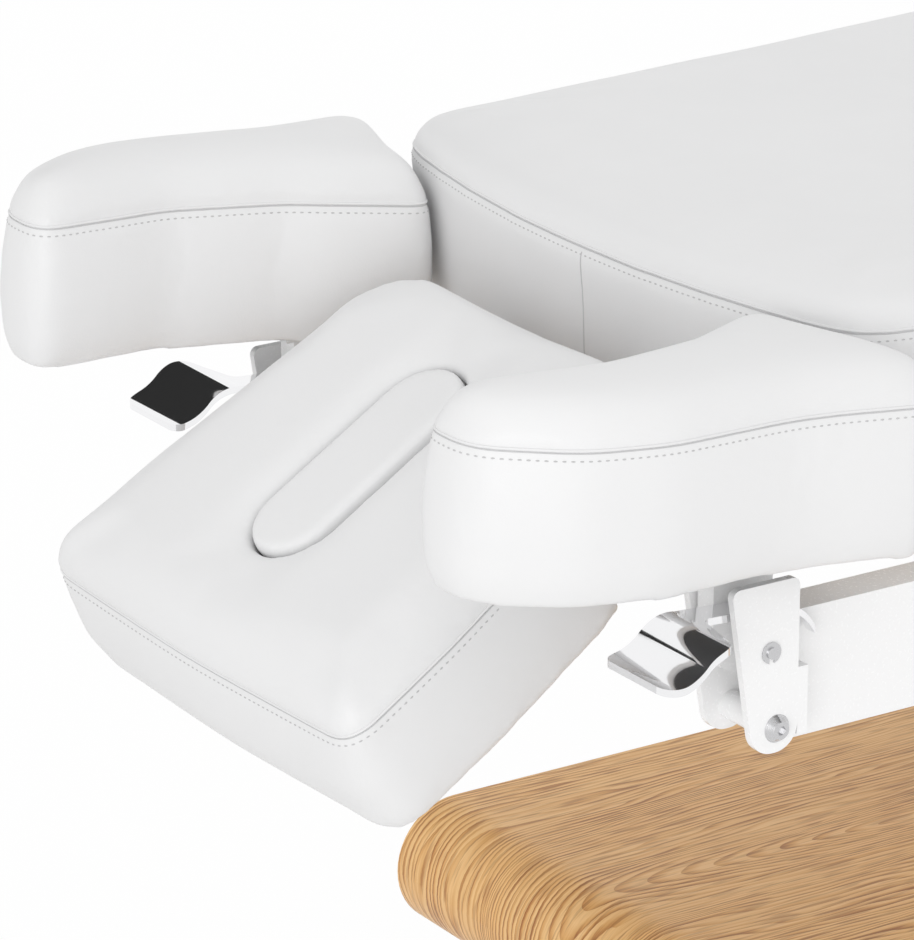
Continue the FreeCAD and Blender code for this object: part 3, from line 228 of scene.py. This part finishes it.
leather = leatherette("white_leatherette", PALE_LEATHER, DEEP_LEATHER)
print("leatherette with", len(leather.node_tree.nodes), "nodes")

# %% [markdown]
# ## Oak veneer
# The base is wrapped in oak veneer whose grain runs along the bed and flows round its ends. A flat
# pattern projected from above would smear down the round ends. So the pattern reads the distance along
# the wrapped sheet instead: straight along the top, then radius times angle round the bend. The rings
# of a flat-sawn board are cones cut lengthwise, which gives the long pointed arches. The depth into the
# sheet is added to the place across it, so that the sheet's cut edge shows lines as well.

# %% Unroll the base
BASE_MIDDLE = -0.0795
BASE_HALF_RUN = 0.4575
BASE_LEVEL = 0.103
BASE_BEND = 0.052


def math_node(tree, operation, first, second=0.0):
    """Output of one Math node."""
    return add_node(tree, "ShaderNodeMath", {"operation": operation}, i0=first, i1=second).outputs[0]


def unrolled_length(tree, place):
    """Place across the sheet, distance along it from the middle of its top, and height."""
    split = add_node(tree, "ShaderNodeSeparateXYZ", Vector=place)
    along = math_node(tree, "SUBTRACT", split.outputs["Y"], BASE_MIDDLE)
    away = math_node(tree, "ABSOLUTE", along)
    flat = math_node(tree, "MINIMUM", away, BASE_HALF_RUN)
    past = math_node(tree, "SUBTRACT", away, flat)
    rise = math_node(tree, "SUBTRACT", split.outputs["Z"], BASE_LEVEL)
    turn = math_node(tree, "ARCTAN2", past, rise)
    bend = math_node(tree, "MULTIPLY", turn, BASE_BEND)
    length = math_node(tree, "ADD", flat, bend)
    signed = math_node(tree, "MULTIPLY", length, math_node(tree, "SIGN", along))
    square = math_node(tree, "ADD", math_node(tree, "MULTIPLY", past, past),
                       math_node(tree, "MULTIPLY", rise, rise))
    reach = math_node(tree, "SQRT", square)
    inward = math_node(tree, "SUBTRACT", reach, BASE_BEND)
    across = math_node(tree, "ADD", split.outputs["X"], inward)
    return across, signed, split.outputs["Z"]


# %% [markdown]
# The veneer itself has three layers. Broad rings give the arches, fine streaks give the straight
# fibre, and thin dark dashes give the open pores that oak is known for. Each one is stretched along the
# sheet, and the pores also dent the surface a little.

# %% Grow the oak
RING_STEP = 0.0048
HEART_DEPTH = 0.030
HEART_SLOPE = 0.16
HEART_ASIDE = 0.06
STRETCH = 0.16
SWAY_SCALE = 7.0
SWAY = 0.15
PATCHY_SCALE = 26.0
FIBRES_ACROSS = 620.0
FIBRES_ALONG = 9.0
FIBRES_PER_RING = 0.3
PORES_ACROSS = 330.0
PORES_ALONG = 22.0
RING_SHARE = 0.70
FIBRE_SHARE = 0.55
PORE_SHARE = 0.85
PORES_IN_RINGS = 0.6
PORES_BETWEEN = 0.4
OAK_SHINE = (0.34, 0.50)
PALE_OAK = (0.90, 0.590, 0.270, 1)
MIDDLE_OAK = (0.72, 0.385, 0.125, 1)
DEEP_OAK = (0.37, 0.125, 0.022, 1)
PORE_OAK = (0.33, 0.115, 0.022, 1)


def oak(name, use_height):
    """Oak whose grain runs along the sheet; on upright panels the height stands in for the width."""
    finish, tree, shader, place = start_finish(name)
    width, length, height = unrolled_length(tree, place)
    across = height if use_height else width
    sheet = add_node(tree, "ShaderNodeCombineXYZ", X=across,
                     Y=math_node(tree, "MULTIPLY", length, STRETCH))
    sway = add_node(tree, "ShaderNodeTexNoise", Vector=sheet.outputs[0], Scale=SWAY_SCALE, Detail=4.0)
    shift = math_node(tree, "MULTIPLY", math_node(tree, "SUBTRACT", sway.outputs["Fac"], 0.5), SWAY)
    side = math_node(tree, "ADD", math_node(tree, "ADD", across, HEART_ASIDE), shift)
    depth = math_node(tree, "ADD", math_node(tree, "MULTIPLY", length, HEART_SLOPE), HEART_DEPTH)
    square = math_node(tree, "ADD", math_node(tree, "MULTIPLY", side, side),
                       math_node(tree, "MULTIPLY", depth, depth))
    radius = math_node(tree, "SQRT", square)
    ring = math_node(tree, "FRACT", math_node(tree, "DIVIDE", radius, RING_STEP))
    fine = add_node(tree, "ShaderNodeCombineXYZ", X=math_node(tree, "MULTIPLY", across, FIBRES_ACROSS),
                    Y=math_node(tree, "MULTIPLY", length, FIBRES_ALONG),
                    Z=math_node(tree, "MULTIPLY", ring, FIBRES_PER_RING))
    fibre = add_node(tree, "ShaderNodeTexNoise", Vector=fine.outputs[0], Scale=1.0, Detail=3.0)
    dashes = add_node(tree, "ShaderNodeCombineXYZ", X=math_node(tree, "MULTIPLY", across, PORES_ACROSS),
                      Y=math_node(tree, "MULTIPLY", length, PORES_ALONG))
    pores = add_node(tree, "ShaderNodeTexNoise", Vector=dashes.outputs[0], Scale=1.0, Detail=1.0)
    open_pores = add_node(tree, "ShaderNodeMapRange", Value=pores.outputs["Fac"],
                          From_Min=0.52, From_Max=0.61)
    patchy = add_node(tree, "ShaderNodeTexNoise", Vector=sheet.outputs[0], Scale=PATCHY_SCALE, Detail=2.0)
    depth_of_ring = add_node(tree, "ShaderNodeMapRange", Value=patchy.outputs["Fac"],
                             From_Min=0.35, From_Max=0.65, To_Min=0.35, To_Max=1.15)
    early = add_node(tree, "ShaderNodeMapRange", Value=ring, From_Min=0.40, From_Max=0.98,
                     To_Max=depth_of_ring.outputs[0])
    blend = math_node(tree, "ADD", math_node(tree, "MULTIPLY", early.outputs[0], RING_SHARE),
                      math_node(tree, "MULTIPLY", fibre.outputs["Fac"], FIBRE_SHARE))
    tones = add_node(tree, "ShaderNodeValToRGB", Fac=blend)
    ramp = tones.color_ramp
    ramp.elements[0].position = 0.16
    ramp.elements[0].color = PALE_OAK
    ramp.elements[1].position = 0.92
    ramp.elements[1].color = DEEP_OAK
    middle = ramp.elements.new(0.55)
    middle.color = MIDDLE_OAK
    crowding = math_node(tree, "ADD", math_node(tree, "MULTIPLY", early.outputs[0], PORES_IN_RINGS),
                         PORES_BETWEEN)
    dark = math_node(tree, "MULTIPLY", math_node(tree, "MULTIPLY", open_pores.outputs[0], PORE_SHARE),
                     crowding)
    stain = add_node(tree, "ShaderNodeMix", {"data_type": "RGBA"}, Factor=dark)
    tree.links.new(tones.outputs["Color"], stain.inputs[6])
    stain.inputs[7].default_value = PORE_OAK
    tree.links.new(stain.outputs[2], shader.inputs["Base Color"])
    shine = add_node(tree, "ShaderNodeMapRange", Value=fibre.outputs["Fac"],
                     To_Min=OAK_SHINE[0], To_Max=OAK_SHINE[1])
    tree.links.new(shine.outputs[0], shader.inputs["Roughness"])
    dents = add_node(tree, "ShaderNodeBump", {"invert": True}, Strength=0.25, Distance=0.0003,
                     Height=dark)
    tree.links.new(dents.outputs[0], shader.inputs["Normal"])
    shader.inputs["Specular IOR Level"].default_value = 0.45
    return finish


oak_wrap = oak("oak_wrap", False)
oak_panel = oak("oak_panel", True)
print("oak with", len(oak_wrap.node_tree.nodes), "nodes")

# %% [markdown]
# ## Paint, metal, plastic and board
# The frame is powder-coated white, which has a faint orange-peel ripple under its gloss. The levers are
# chromed, the pins and screws are bare turned steel, and the boards under the cushions are plywood that
# shows its layers at the edge. One helper gives a plain finish with a wandering roughness and a bump.

# %% Make the hard finishes
TONE_SCALE = 11.0
RIPPLE_HEIGHT = 0.0003


def hard_finish(name, pale, deep, metallic, rough, noise_scale, ripple, stretch=(1, 1, 1)):
    """Hard surface: two close tones, a roughness between two values and a bump from the same noise."""
    finish, tree, shader, place = start_finish(name)
    spread = add_node(tree, "ShaderNodeMapping", Vector=place, Scale=stretch)
    grain = add_node(tree, "ShaderNodeTexNoise", Vector=spread.outputs[0], Scale=noise_scale, Detail=4.0)
    patches = add_node(tree, "ShaderNodeTexNoise", Vector=place, Scale=TONE_SCALE, Detail=3.0)
    tint = add_node(tree, "ShaderNodeMix", {"data_type": "RGBA"}, Factor=patches.outputs["Fac"])
    tint.inputs[6].default_value = (*deep, 1)
    tint.inputs[7].default_value = (*pale, 1)
    tree.links.new(tint.outputs[2], shader.inputs["Base Color"])
    shine = add_node(tree, "ShaderNodeMapRange", Value=grain.outputs["Fac"],
                     To_Min=rough[0], To_Max=rough[1])
    tree.links.new(shine.outputs[0], shader.inputs["Roughness"])
    bump = add_node(tree, "ShaderNodeBump", Strength=ripple, Distance=RIPPLE_HEIGHT,
                    Height=grain.outputs["Fac"])
    tree.links.new(bump.outputs[0], shader.inputs["Normal"])
    shader.inputs["Metallic"].default_value = metallic
    return finish


paint = hard_finish("white_powder_coat", (0.90, 0.90, 0.90), (0.87, 0.87, 0.872), 0.0,
                    (0.20, 0.32), 420.0, 0.10)
steel = hard_finish("turned_steel", (0.68, 0.68, 0.69), (0.56, 0.56, 0.57), 1.0,
                    (0.18, 0.36), 60.0, 0.10, (30, 1, 1))
chrome = hard_finish("polished_chrome", (0.92, 0.92, 0.93), (0.86, 0.86, 0.87), 1.0,
                     (0.03, 0.08), 45.0, 0.02)
black = hard_finish("black_moulding", (0.045, 0.045, 0.047), (0.03, 0.03, 0.032), 0.0,
                    (0.42, 0.60), 900.0, 0.30)
cap_white = hard_finish("white_moulding", (0.88, 0.88, 0.88), (0.84, 0.84, 0.84), 0.0,
                        (0.30, 0.42), 700.0, 0.12)
tread = hard_finish("grey_rubber", (0.07, 0.07, 0.07), (0.04, 0.04, 0.04), 0.0,
                    (0.70, 0.90), 500.0, 0.40)
print("six hard finishes, chrome with", len(chrome.node_tree.nodes), "nodes")

# %% [markdown]
# Plywood is thin sheets glued crosswise, so its edge is striped. Counting the sheets along Z gives stripes
# on the level boards, and a stretched noise gives the fibre on their faces. The boards are limed pale,
# apart from the two under the armrests, which are black, because the chrome levers mirror them.

# %% Make the plywood
PLY = 0.0015
PLY_FIBRES = (240, 12, 240)
PALE_PLY = (0.90, 0.87, 0.82, 1)
DEEP_PLY = (0.76, 0.71, 0.63, 1)


def plywood():
    """Limed birch with stripes for its sheets and streaks for its fibre."""
    finish, tree, shader, place = start_finish("birch_plywood")
    split = add_node(tree, "ShaderNodeSeparateXYZ", Vector=place)
    layer = math_node(tree, "FRACT", math_node(tree, "DIVIDE", split.outputs["Z"], 2 * PLY))
    stripe = math_node(tree, "GREATER_THAN", layer, 0.5)
    fibres = add_node(tree, "ShaderNodeMapping", Vector=place, Scale=PLY_FIBRES)
    streak = add_node(tree, "ShaderNodeTexNoise", Vector=fibres.outputs[0], Scale=1.0, Detail=3.0)
    share = math_node(tree, "ADD", math_node(tree, "MULTIPLY", stripe, 0.4),
                      math_node(tree, "MULTIPLY", streak.outputs["Fac"], 0.6))
    tint = add_node(tree, "ShaderNodeMix", {"data_type": "RGBA"}, Factor=share)
    tint.inputs[6].default_value = PALE_PLY
    tint.inputs[7].default_value = DEEP_PLY
    tree.links.new(tint.outputs[2], shader.inputs["Base Color"])
    shine = add_node(tree, "ShaderNodeMapRange", Value=streak.outputs["Fac"], To_Min=0.55, To_Max=0.72)
    tree.links.new(shine.outputs[0], shader.inputs["Roughness"])
    bump = add_node(tree, "ShaderNodeBump", Strength=0.2, Distance=0.0003, Height=streak.outputs["Fac"])
    tree.links.new(bump.outputs[0], shader.inputs["Normal"])
    return finish


birch = plywood()
print("plywood with", len(birch.node_tree.nodes), "nodes")

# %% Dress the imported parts
FINISH_OF_SLOT = {"oak_veneer": oak_wrap, "plywood": birch, "upholstery": leather, "white_paint": paint,
                  "bare_steel": steel, "chrome": chrome, "black_plastic": black, "white_plastic": cap_white,
                  "rubber": tread}
OWN_FINISH = {"base_sides": oak_panel, "bracket_spacers": paint, "armrest_board_right": black,
              "armrest_board_left": black}
for row in frame["record"]["subparts"]:
    holder = nodes[row["node"]]
    worn = OWN_FINISH.get(row["node"], FINISH_OF_SLOT[row["material_slot"]])
    for place in holder.material_slots:
        place.material = worn

# %% [markdown]
# ## Stuffed cushions
# A cushion's cover is a top panel and a side strip, sewn together and stuffed until it is tight. The
# panels swell, the seam between them holds them in, and the bottom stays flat on its board. Shaping
# that by hand gives a moulded look. A cloth simulation with pressure inside gives the real thing: the
# cover starts a little too small, the bottom and the seam are held, and the pressure does the rest.

# %% Helpers for covers
MERGE = 0.00002


def bake(piece):
    """Give a piece the mesh that its modifiers make, and clear them."""
    graph = bpy.context.evaluated_depsgraph_get()
    shaped = bpy.data.meshes.new_from_object(piece.evaluated_get(graph))
    old = piece.data
    piece.modifiers.clear()
    piece.data = shaped
    bpy.data.meshes.remove(old)


def new_piece(name, form, finish):
    """Finished piece from a bmesh, which is freed."""
    mesh = bpy.data.meshes.new(name)
    form.to_mesh(mesh)
    form.free()
    mesh.materials.append(finish)
    piece = bpy.data.objects.new(name, mesh)
    scene.collection.objects.link(piece)
    return piece


def cover(name, node, voxel):
    """Even closed mesh over a node's solid."""
    form = bmesh.new()
    form.from_mesh(nodes[node].data)
    bmesh.ops.remove_doubles(form, verts=form.verts, dist=MERGE)
    piece = new_piece(name, form, leather)
    even = piece.modifiers.new("even_mesh", "REMESH")
    even.mode = "VOXEL"
    even.voxel_size = voxel
    bake(piece)
    return piece


def relax(verts_of, verts, rounds):
    """Smooth some of a bmesh's vertices, a few times over."""
    for _ in range(rounds):
        bmesh.ops.smooth_vert(verts_of, verts=verts, factor=0.5,
                              use_axis_x=True, use_axis_y=True, use_axis_z=True)


# %% [markdown]
# The seam of every cushion lies in one plane, level on the bed, pitched on the armrests and sloping on
# the headrest. A plane is a point and a direction, and the height of a vertex above it says whether the
# vertex is on the top panel, on the side strip, at the seam or at the bottom.

# %% Set the seam planes
SEAM_LEVEL = 0.692
ARM_PITCH = math.radians(3.0)
ARM_SEAM_HEAD = Vector((0, -0.911, 0.684))
HEADREST_TILT = math.radians(32.0)
HEADREST_PIVOT = Vector((0, -0.658, 0.620))
PIVOT_UNDER_SEAM = 0.0042

level_seam = (Vector((0, 0, SEAM_LEVEL)), Vector((0, 0, 1)))
arm_seam = (ARM_SEAM_HEAD, Vector((0, math.sin(ARM_PITCH), math.cos(ARM_PITCH))))
slope_up = Vector((0, -math.sin(HEADREST_TILT), math.cos(HEADREST_TILT)))
headrest_seam = (HEADREST_PIVOT + slope_up * PIVOT_UNDER_SEAM, slope_up)


def above(point, plane):
    """Height of a point over a plane."""
    return (point - plane[0]).dot(plane[1])


print("headrest seam passes", [round(v, 4) for v in headrest_seam[0]])

# %% [markdown]
# Pressure alone would blow a loose cover up like a balloon, so each vertex may only move a few
# millimetres from where it started. Holding the seam fades over a centimetre, because a hard edge
# between held and free vertices would show as teeth. Afterwards the thread pulls the cover in along
# the seam, as a soft groove. Foam can't fill a sharp corner, so the crown of the armrests and of the
# headrest is also smoothed on its own.

# %% Stuff a cover
PRESSURE = 4.0
STEPS = 20
START_SMALL = 0.0012
HOLD_BAND = 0.008
GROOVE_DEPTH = 0.0022
GROOVE_WIDTH = 0.0045
CROWN_FROM = 0.006
FIRST_ROUNDS = 3
LAST_ROUNDS = 2


def hold(height, bottom):
    """How firmly a vertex is held, from 0 to 1."""
    at_seam = max(0.0, 1 - (height / HOLD_BAND) ** 2)
    at_bottom = 1.0 if height < bottom + 0.5 * HOLD_BAND else 0.0
    return max(at_seam, at_bottom)


def stuff(piece, plane, cap, groove=GROOVE_DEPTH, crown_rounds=0):
    """Swell a cover by cloth pressure, cap the swelling, sink the seam and smooth it all."""
    form = bmesh.new()
    form.from_mesh(piece.data)
    relax(form, form.verts, FIRST_ROUNDS)
    form.normal_update()
    bottom = min(above(v.co, plane) for v in form.verts)
    grips = [hold(above(v.co, plane), bottom) for v in form.verts]
    for vertex, grip in zip(form.verts, grips):
        vertex.co -= vertex.normal * START_SMALL * (1 - grip)
    start = [v.co.copy() for v in form.verts]
    form.to_mesh(piece.data)
    held = piece.vertex_groups.new(name="held")
    for index, grip in enumerate(grips):
        held.add([index], grip, "REPLACE")
    cloth = piece.modifiers.new("stuffing", "CLOTH")
    cloth.settings.vertex_group_mass = "held"
    cloth.settings.quality = 4
    cloth.settings.use_pressure = True
    cloth.settings.uniform_pressure_force = PRESSURE
    cloth.settings.effector_weights.gravity = 0
    cloth.collision_settings.use_collision = False
    for step in range(1, STEPS + 1):
        scene.frame_set(step)
    bake(piece)
    scene.frame_set(1)
    form.free()
    form = bmesh.new()
    form.from_mesh(piece.data)
    most = 0.0
    for vertex, place in zip(form.verts, start):
        moved = vertex.co - place
        if moved.length > cap:
            moved *= cap / moved.length
        most = max(most, moved.length)
        vertex.co = place + moved
    relax(form, form.verts, LAST_ROUNDS)
    crown = [vertex for vertex in form.verts if above(vertex.co, plane) > CROWN_FROM]
    relax(form, crown, crown_rounds)
    form.normal_update()
    for vertex in form.verts:
        near = above(vertex.co, plane) / GROOVE_WIDTH
        vertex.co -= vertex.normal * groove * math.exp(-near * near)
    for face in form.faces:
        face.smooth = True
    form.to_mesh(piece.data)
    form.free()
    finer = piece.modifiers.new("finer", "SUBSURF")
    finer.levels = 1
    finer.render_levels = 1
    return most


def finish_cushion(piece, node, body):
    """Hand a stuffed piece over in place of its node."""
    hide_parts(node)
    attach(piece, body)
    return piece


# %% Stuff the bed's three sections
BED_CAP = 0.0032
SECTIONS = (("back", "back", 0.008), ("seat", "chassis", 0.010), ("leg", "leg", 0.010))
CUSHIONS = {}
for name, body, voxel in SECTIONS:
    made = cover(name + "_pad", name + "_cushion", voxel)
    moved = stuff(made, level_seam, BED_CAP)
    CUSHIONS[name] = finish_cushion(made, name + "_cushion", body)
    print(name, "pad:", len(made.data.vertices), "vertices, moved", round(1000 * moved, 1), "mm at most")

# %% [markdown]
# The headrest and its plug are smaller and rounder, so their covers have a finer mesh. The two armrests
# are mirror images: one is stuffed, and its copy is mirrored and has its faces turned the right way.

# %% Stuff the headrest, its plug and the armrests
PLUG_RIM = 0.0245
PLUG_GROOVE = 0.0008
HEADREST_CROWN_ROUNDS = 10
ARM_VOXEL = 0.005
ARM_CAP = 0.0034
ARM_CROWN_ROUNDS = 36
plug_plane = (headrest_seam[0] + slope_up * PLUG_RIM, slope_up)
HEAD_PIECES = (("headrest", "headrest_cushion", headrest_seam, "headrest", 0.005, 0.0042, GROOVE_DEPTH,
                HEADREST_CROWN_ROUNDS),
               ("plug", "face_plug", plug_plane, "face_plug", 0.003, 0.0026, PLUG_GROOVE, 0))
for name, node, plane, body, voxel, cap, groove, crown_rounds in HEAD_PIECES:
    made = cover(name + "_pad", node, voxel)
    moved = stuff(made, plane, cap, groove, crown_rounds)
    CUSHIONS[name] = finish_cushion(made, node, body)
    print(name, "pad:", len(made.data.vertices), "vertices, moved", round(1000 * moved, 1), "mm at most")

right_arm = cover("armrest_right_pad", "armrest_cushion_right", ARM_VOXEL)
moved = stuff(right_arm, arm_seam, ARM_CAP, crown_rounds=ARM_CROWN_ROUNDS)
CUSHIONS["armrest_right"] = finish_cushion(right_arm, "armrest_cushion_right", "armrest_right")


def mirrored_copy(piece, name):
    """Copy of a piece across the bed's middle."""
    form = bmesh.new()
    form.from_mesh(piece.data)
    bmesh.ops.scale(form, vec=(-1, 1, 1), verts=form.verts)
    bmesh.ops.reverse_faces(form, faces=form.faces)
    copy = new_piece(name, form, piece.data.materials[0])
    for modifier in piece.modifiers:
        finer = copy.modifiers.new(modifier.name, modifier.type)
        finer.levels = modifier.levels
        finer.render_levels = modifier.render_levels
    return copy


left_arm = mirrored_copy(right_arm, "armrest_left_pad")
CUSHIONS["armrest_left"] = finish_cushion(left_arm, "armrest_cushion_left", "armrest_left")
print("armrest pads:", len(right_arm.data.vertices), "vertices, moved", round(1000 * moved, 1),
      "mm at most")

# %% [markdown]
# ## Seams and stitches
# Where the top panel meets the side strip, the folded edges make a thin roll with a shadow under it,
# and a row of stitches holds the fold down a few millimetres below. A texture can't follow an edge that
# the simulation has moved. Cutting the finished pad with its own seam plane gives exactly the line that
# the thread takes, and the roll, a grey tube of painted shadow and the stitches are laid along that line.

# %% Find lines on a pad
ON_PLANE = 1e-6


def cut_lines(piece, plane):
    """Lines where a plane cuts a finished piece, each a list of points; a closed one is not repeated."""
    form = bmesh.new()
    form.from_object(piece, bpy.context.evaluated_depsgraph_get())
    everything = form.verts[:] + form.edges[:] + form.faces[:]
    cut = bmesh.ops.bisect_plane(form, geom=everything, dist=ON_PLANE,
                                 plane_co=plane[0], plane_no=plane[1])
    # A dict keeps the edges in the mesh's order, so each line starts at the same place in every run.
    left = dict.fromkeys(edge for edge in cut["geom_cut"] if isinstance(edge, bmesh.types.BMEdge))
    lines = []
    while left:
        edge = next(iter(left))
        del left[edge]
        first, tip = edge.verts
        line = [first.co.copy(), tip.co.copy()]
        while True:
            onward = [step for step in tip.link_edges if step in left]
            if not onward:
                break
            del left[onward[0]]
            tip = onward[0].other_vert(tip)
            line.append(tip.co.copy())
        lines.append(line)
    form.free()
    return lines


def longest(lines):
    """The longest of some lines."""
    return max(lines, key=lambda line: sum((b - a).length for a, b in zip(line, line[1:])))


def spaced(line, step):
    """Points at an even step along a line, each with the line's direction there."""
    marks = []
    spare = 0.0
    for a, b in zip(line, line[1:]):
        run = (b - a).length
        while spare < run:
            marks.append((a.lerp(b, spare / run), (b - a) / run))
            spare += step
        spare -= run
    return marks


# %% [markdown]
# The roll and its painted shadow, a grey tube just under it, are thin tubes: a curve with a round bevel
# is the shortest way to a tube, and it is turned into a mesh at once. A stitch is a small ellipsoid,
# flat on the cover, and a row of a few hundred of them is one piece.

# %% Lay tubes and stitches
TUBE_STEP = 0.004
ROLL = 0.0011
SHADOW_LINE = 0.0005
SHADOW_DROP = 0.0017
STITCH_DROP = 0.0065
STITCH_STEP = 0.0056
STITCH_SIZE = (0.0015, 0.00062, 0.0005)
# The thread is white, but the stitches are coloured grey: painted shade of the needle holes they sit in.
hole_shaded_thread = hard_finish("thread_with_painted_hole_shade", (0.56, 0.56, 0.56), (0.48, 0.48, 0.48), 0.0,
                     (0.6, 0.8), 1500.0, 0.3)
# The seam shadow is painted: a grey tube in the crease, also used for the strip seams.
shade = hard_finish("seam_shadow", (0.60, 0.60, 0.605), (0.52, 0.52, 0.525), 0.0,
                    (0.6, 0.8), 900.0, 0.3)


def tube(name, points, radius, closed, finish):
    """Round tube along points."""
    line = bpy.data.curves.new(name + "_line", "CURVE")
    line.dimensions = "3D"
    line.bevel_depth = radius
    line.bevel_resolution = 1
    run = line.splines.new("POLY")
    run.points.add(len(points) - 1)
    for knot, point in zip(run.points, points):
        knot.co = (*point, 1)
    run.use_cyclic_u = closed
    line.use_fill_caps = not closed
    holder = bpy.data.objects.new(name + "_line", line)
    scene.collection.objects.link(holder)
    bake_from = holder.evaluated_get(bpy.context.evaluated_depsgraph_get())
    form = bmesh.new()
    form.from_mesh(bpy.data.meshes.new_from_object(bake_from))
    bpy.data.objects.remove(holder)
    for face in form.faces:
        face.smooth = True
    return new_piece(name, form, finish)


def stitch_row(name, line, up, middle):
    """Stitches along a line, with their flat side on the cover, grey as painted shade of their needle
    holes.
    """
    form = bmesh.new()
    size = Matrix.Diagonal((*STITCH_SIZE, 1))
    for point, along in spaced(line, STITCH_STEP):
        out = along.cross(up).normalized()
        if out.dot(point - middle) < 0:
            out.negate()
        turn = Matrix((along, out.cross(along), out)).transposed().to_4x4()
        bmesh.ops.create_uvsphere(form, u_segments=6, v_segments=4, radius=1.0,
                                  matrix=Matrix.Translation(point) @ turn @ size)
    bmesh.ops.recalc_face_normals(form, faces=form.faces)
    return new_piece(name, form, hole_shaded_thread)


def sew(name, plane, body):
    """Roll, shadow and stitches round one pad at its seam."""
    pad = CUSHIONS[name]
    rows = []
    for part, drop, radius, finish in (("seam_roll", 0.0, ROLL, leather),
                                       ("seam_shadow", SHADOW_DROP, SHADOW_LINE, shade)):
        line = longest(cut_lines(pad, (plane[0] - plane[1] * drop, plane[1])))
        points = [point for point, along in spaced(line, TUBE_STEP)]
        rows.append(tube(name + "_" + part, points, radius, True, finish))
    line = longest(cut_lines(pad, (plane[0] - plane[1] * STITCH_DROP, plane[1])))
    middle = sum(line, Vector()) / len(line)
    rows.append(stitch_row(name + "_stitches", line, plane[1], middle))
    for row in rows:
        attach(row, body)
    return len(rows[-1].data.polygons)


SEAMS = (("back", level_seam, "back"), ("seat", level_seam, "chassis"), ("leg", level_seam, "leg"),
         ("headrest", headrest_seam, "headrest"), ("armrest_right", arm_seam, "armrest_right"),
         ("armrest_left", arm_seam, "armrest_left"))
for name, plane, body in SEAMS:
    print(name, "stitches have", sew(name, plane, body), "faces")

# %% [markdown]
# The side strip is one long band, and its ends have to meet somewhere. On the back they meet in the
# middle of the head face, or nearly, and on each armrest at the inner corner of the foot end. A plane
# through that place cuts the pad all the way round, and only the stretch on the strip is kept.

# %% Close the side strips
STRIP_BOTTOM = 0.020
STRIP_TOP = 0.003
ARM_CORNER = Vector((0.194, -0.612, 0.0))
ARM_CORNER_CUT = (0.53, 0.85)
HEAD_MIDDLE = Vector((0.012, -0.626, 0))
STRIP_REACH = 0.035


def upright_seam(name, plane, near, reach, seam, body):
    """Thin grey tube of painted shadow down a side strip where an upright plane cuts a pad, close to a
    place.
    """
    pad = CUSHIONS[name]
    line = longest(cut_lines(pad, plane))
    bottom = min(above(v.co, seam) for v in pad.data.vertices)
    strip = [point for point in line if bottom + STRIP_BOTTOM < above(point, seam) < -STRIP_TOP]
    strip = [point for point in strip if (point.xy - near.xy).length < reach]
    strip.sort(key=lambda point: point.z)
    # The strip seam is a grey tube: painted shadow in the joint.
    made = tube(name + "_strip_seam_shadow", strip, SHADOW_LINE, False, shade)
    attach(made, body)
    print(name, "strip seam has", len(strip), "points")


upright_seam("back", (HEAD_MIDDLE, Vector((1, 0, 0))), HEAD_MIDDLE, STRIP_REACH, level_seam, "back")
for side, way in (("right", 1), ("left", -1)):
    corner = Vector((way * ARM_CORNER.x, ARM_CORNER.y, 0))
    cut = (corner, Vector((ARM_CORNER_CUT[0] * way, ARM_CORNER_CUT[1], 0)))
    upright_seam("armrest_" + side, cut, corner, STRIP_REACH, arm_seam, "armrest_" + side)

# %% [markdown]
# ## Something for the chrome to mirror
# A mirror in an all-white room is white. The photograph's far lever is nearly black, as if a dark card
# stood beside the bed. The card here is a black sheet that only mirror rays can see, so it takes no
# light away from the bed and never shows itself.

# %% Stand the dark card
CARD_PAINT = (0.03, 0.03, 0.03, 1)
CARD_PLACE = (-2.4, -0.9, 1.9)
CARD_TARGET = (0, -0.7, 0.5)
CARD_WIDTH = 2.6
CARD_HEIGHT = 0.9
card_finish = bpy.data.materials.new("dark_card")
card_finish.use_nodes = True
card_tree = card_finish.node_tree
card_tree.nodes.clear()
card_black = add_node(card_tree, "ShaderNodeEmission", Color=CARD_PAINT, Strength=1.0)
card_clear = add_node(card_tree, "ShaderNodeBsdfTransparent")
card_path = add_node(card_tree, "ShaderNodeLightPath")
card_mix = add_node(card_tree, "ShaderNodeMixShader", i0=card_path.outputs["Is Glossy Ray"],
                    i1=card_clear.outputs[0], i2=card_black.outputs[0])
add_node(card_tree, "ShaderNodeOutputMaterial", Surface=card_mix.outputs[0])


def dark_card(name, place, target, width, height):
    """Flat card at a place, facing a target, outside the part."""
    form = bmesh.new()
    turn = (Vector(target) - Vector(place)).to_track_quat("Z", "Y").to_matrix().to_4x4()
    size = Matrix.Diagonal((width / 2, height / 2, 1, 1))
    bmesh.ops.create_grid(form, x_segments=1, y_segments=1, size=1.0,
                          matrix=Matrix.Translation(place) @ turn @ size)
    new_piece(name, form, card_finish)


dark_card("card_beside", CARD_PLACE, CARD_TARGET, CARD_WIDTH, CARD_HEIGHT)
print("one dark card")
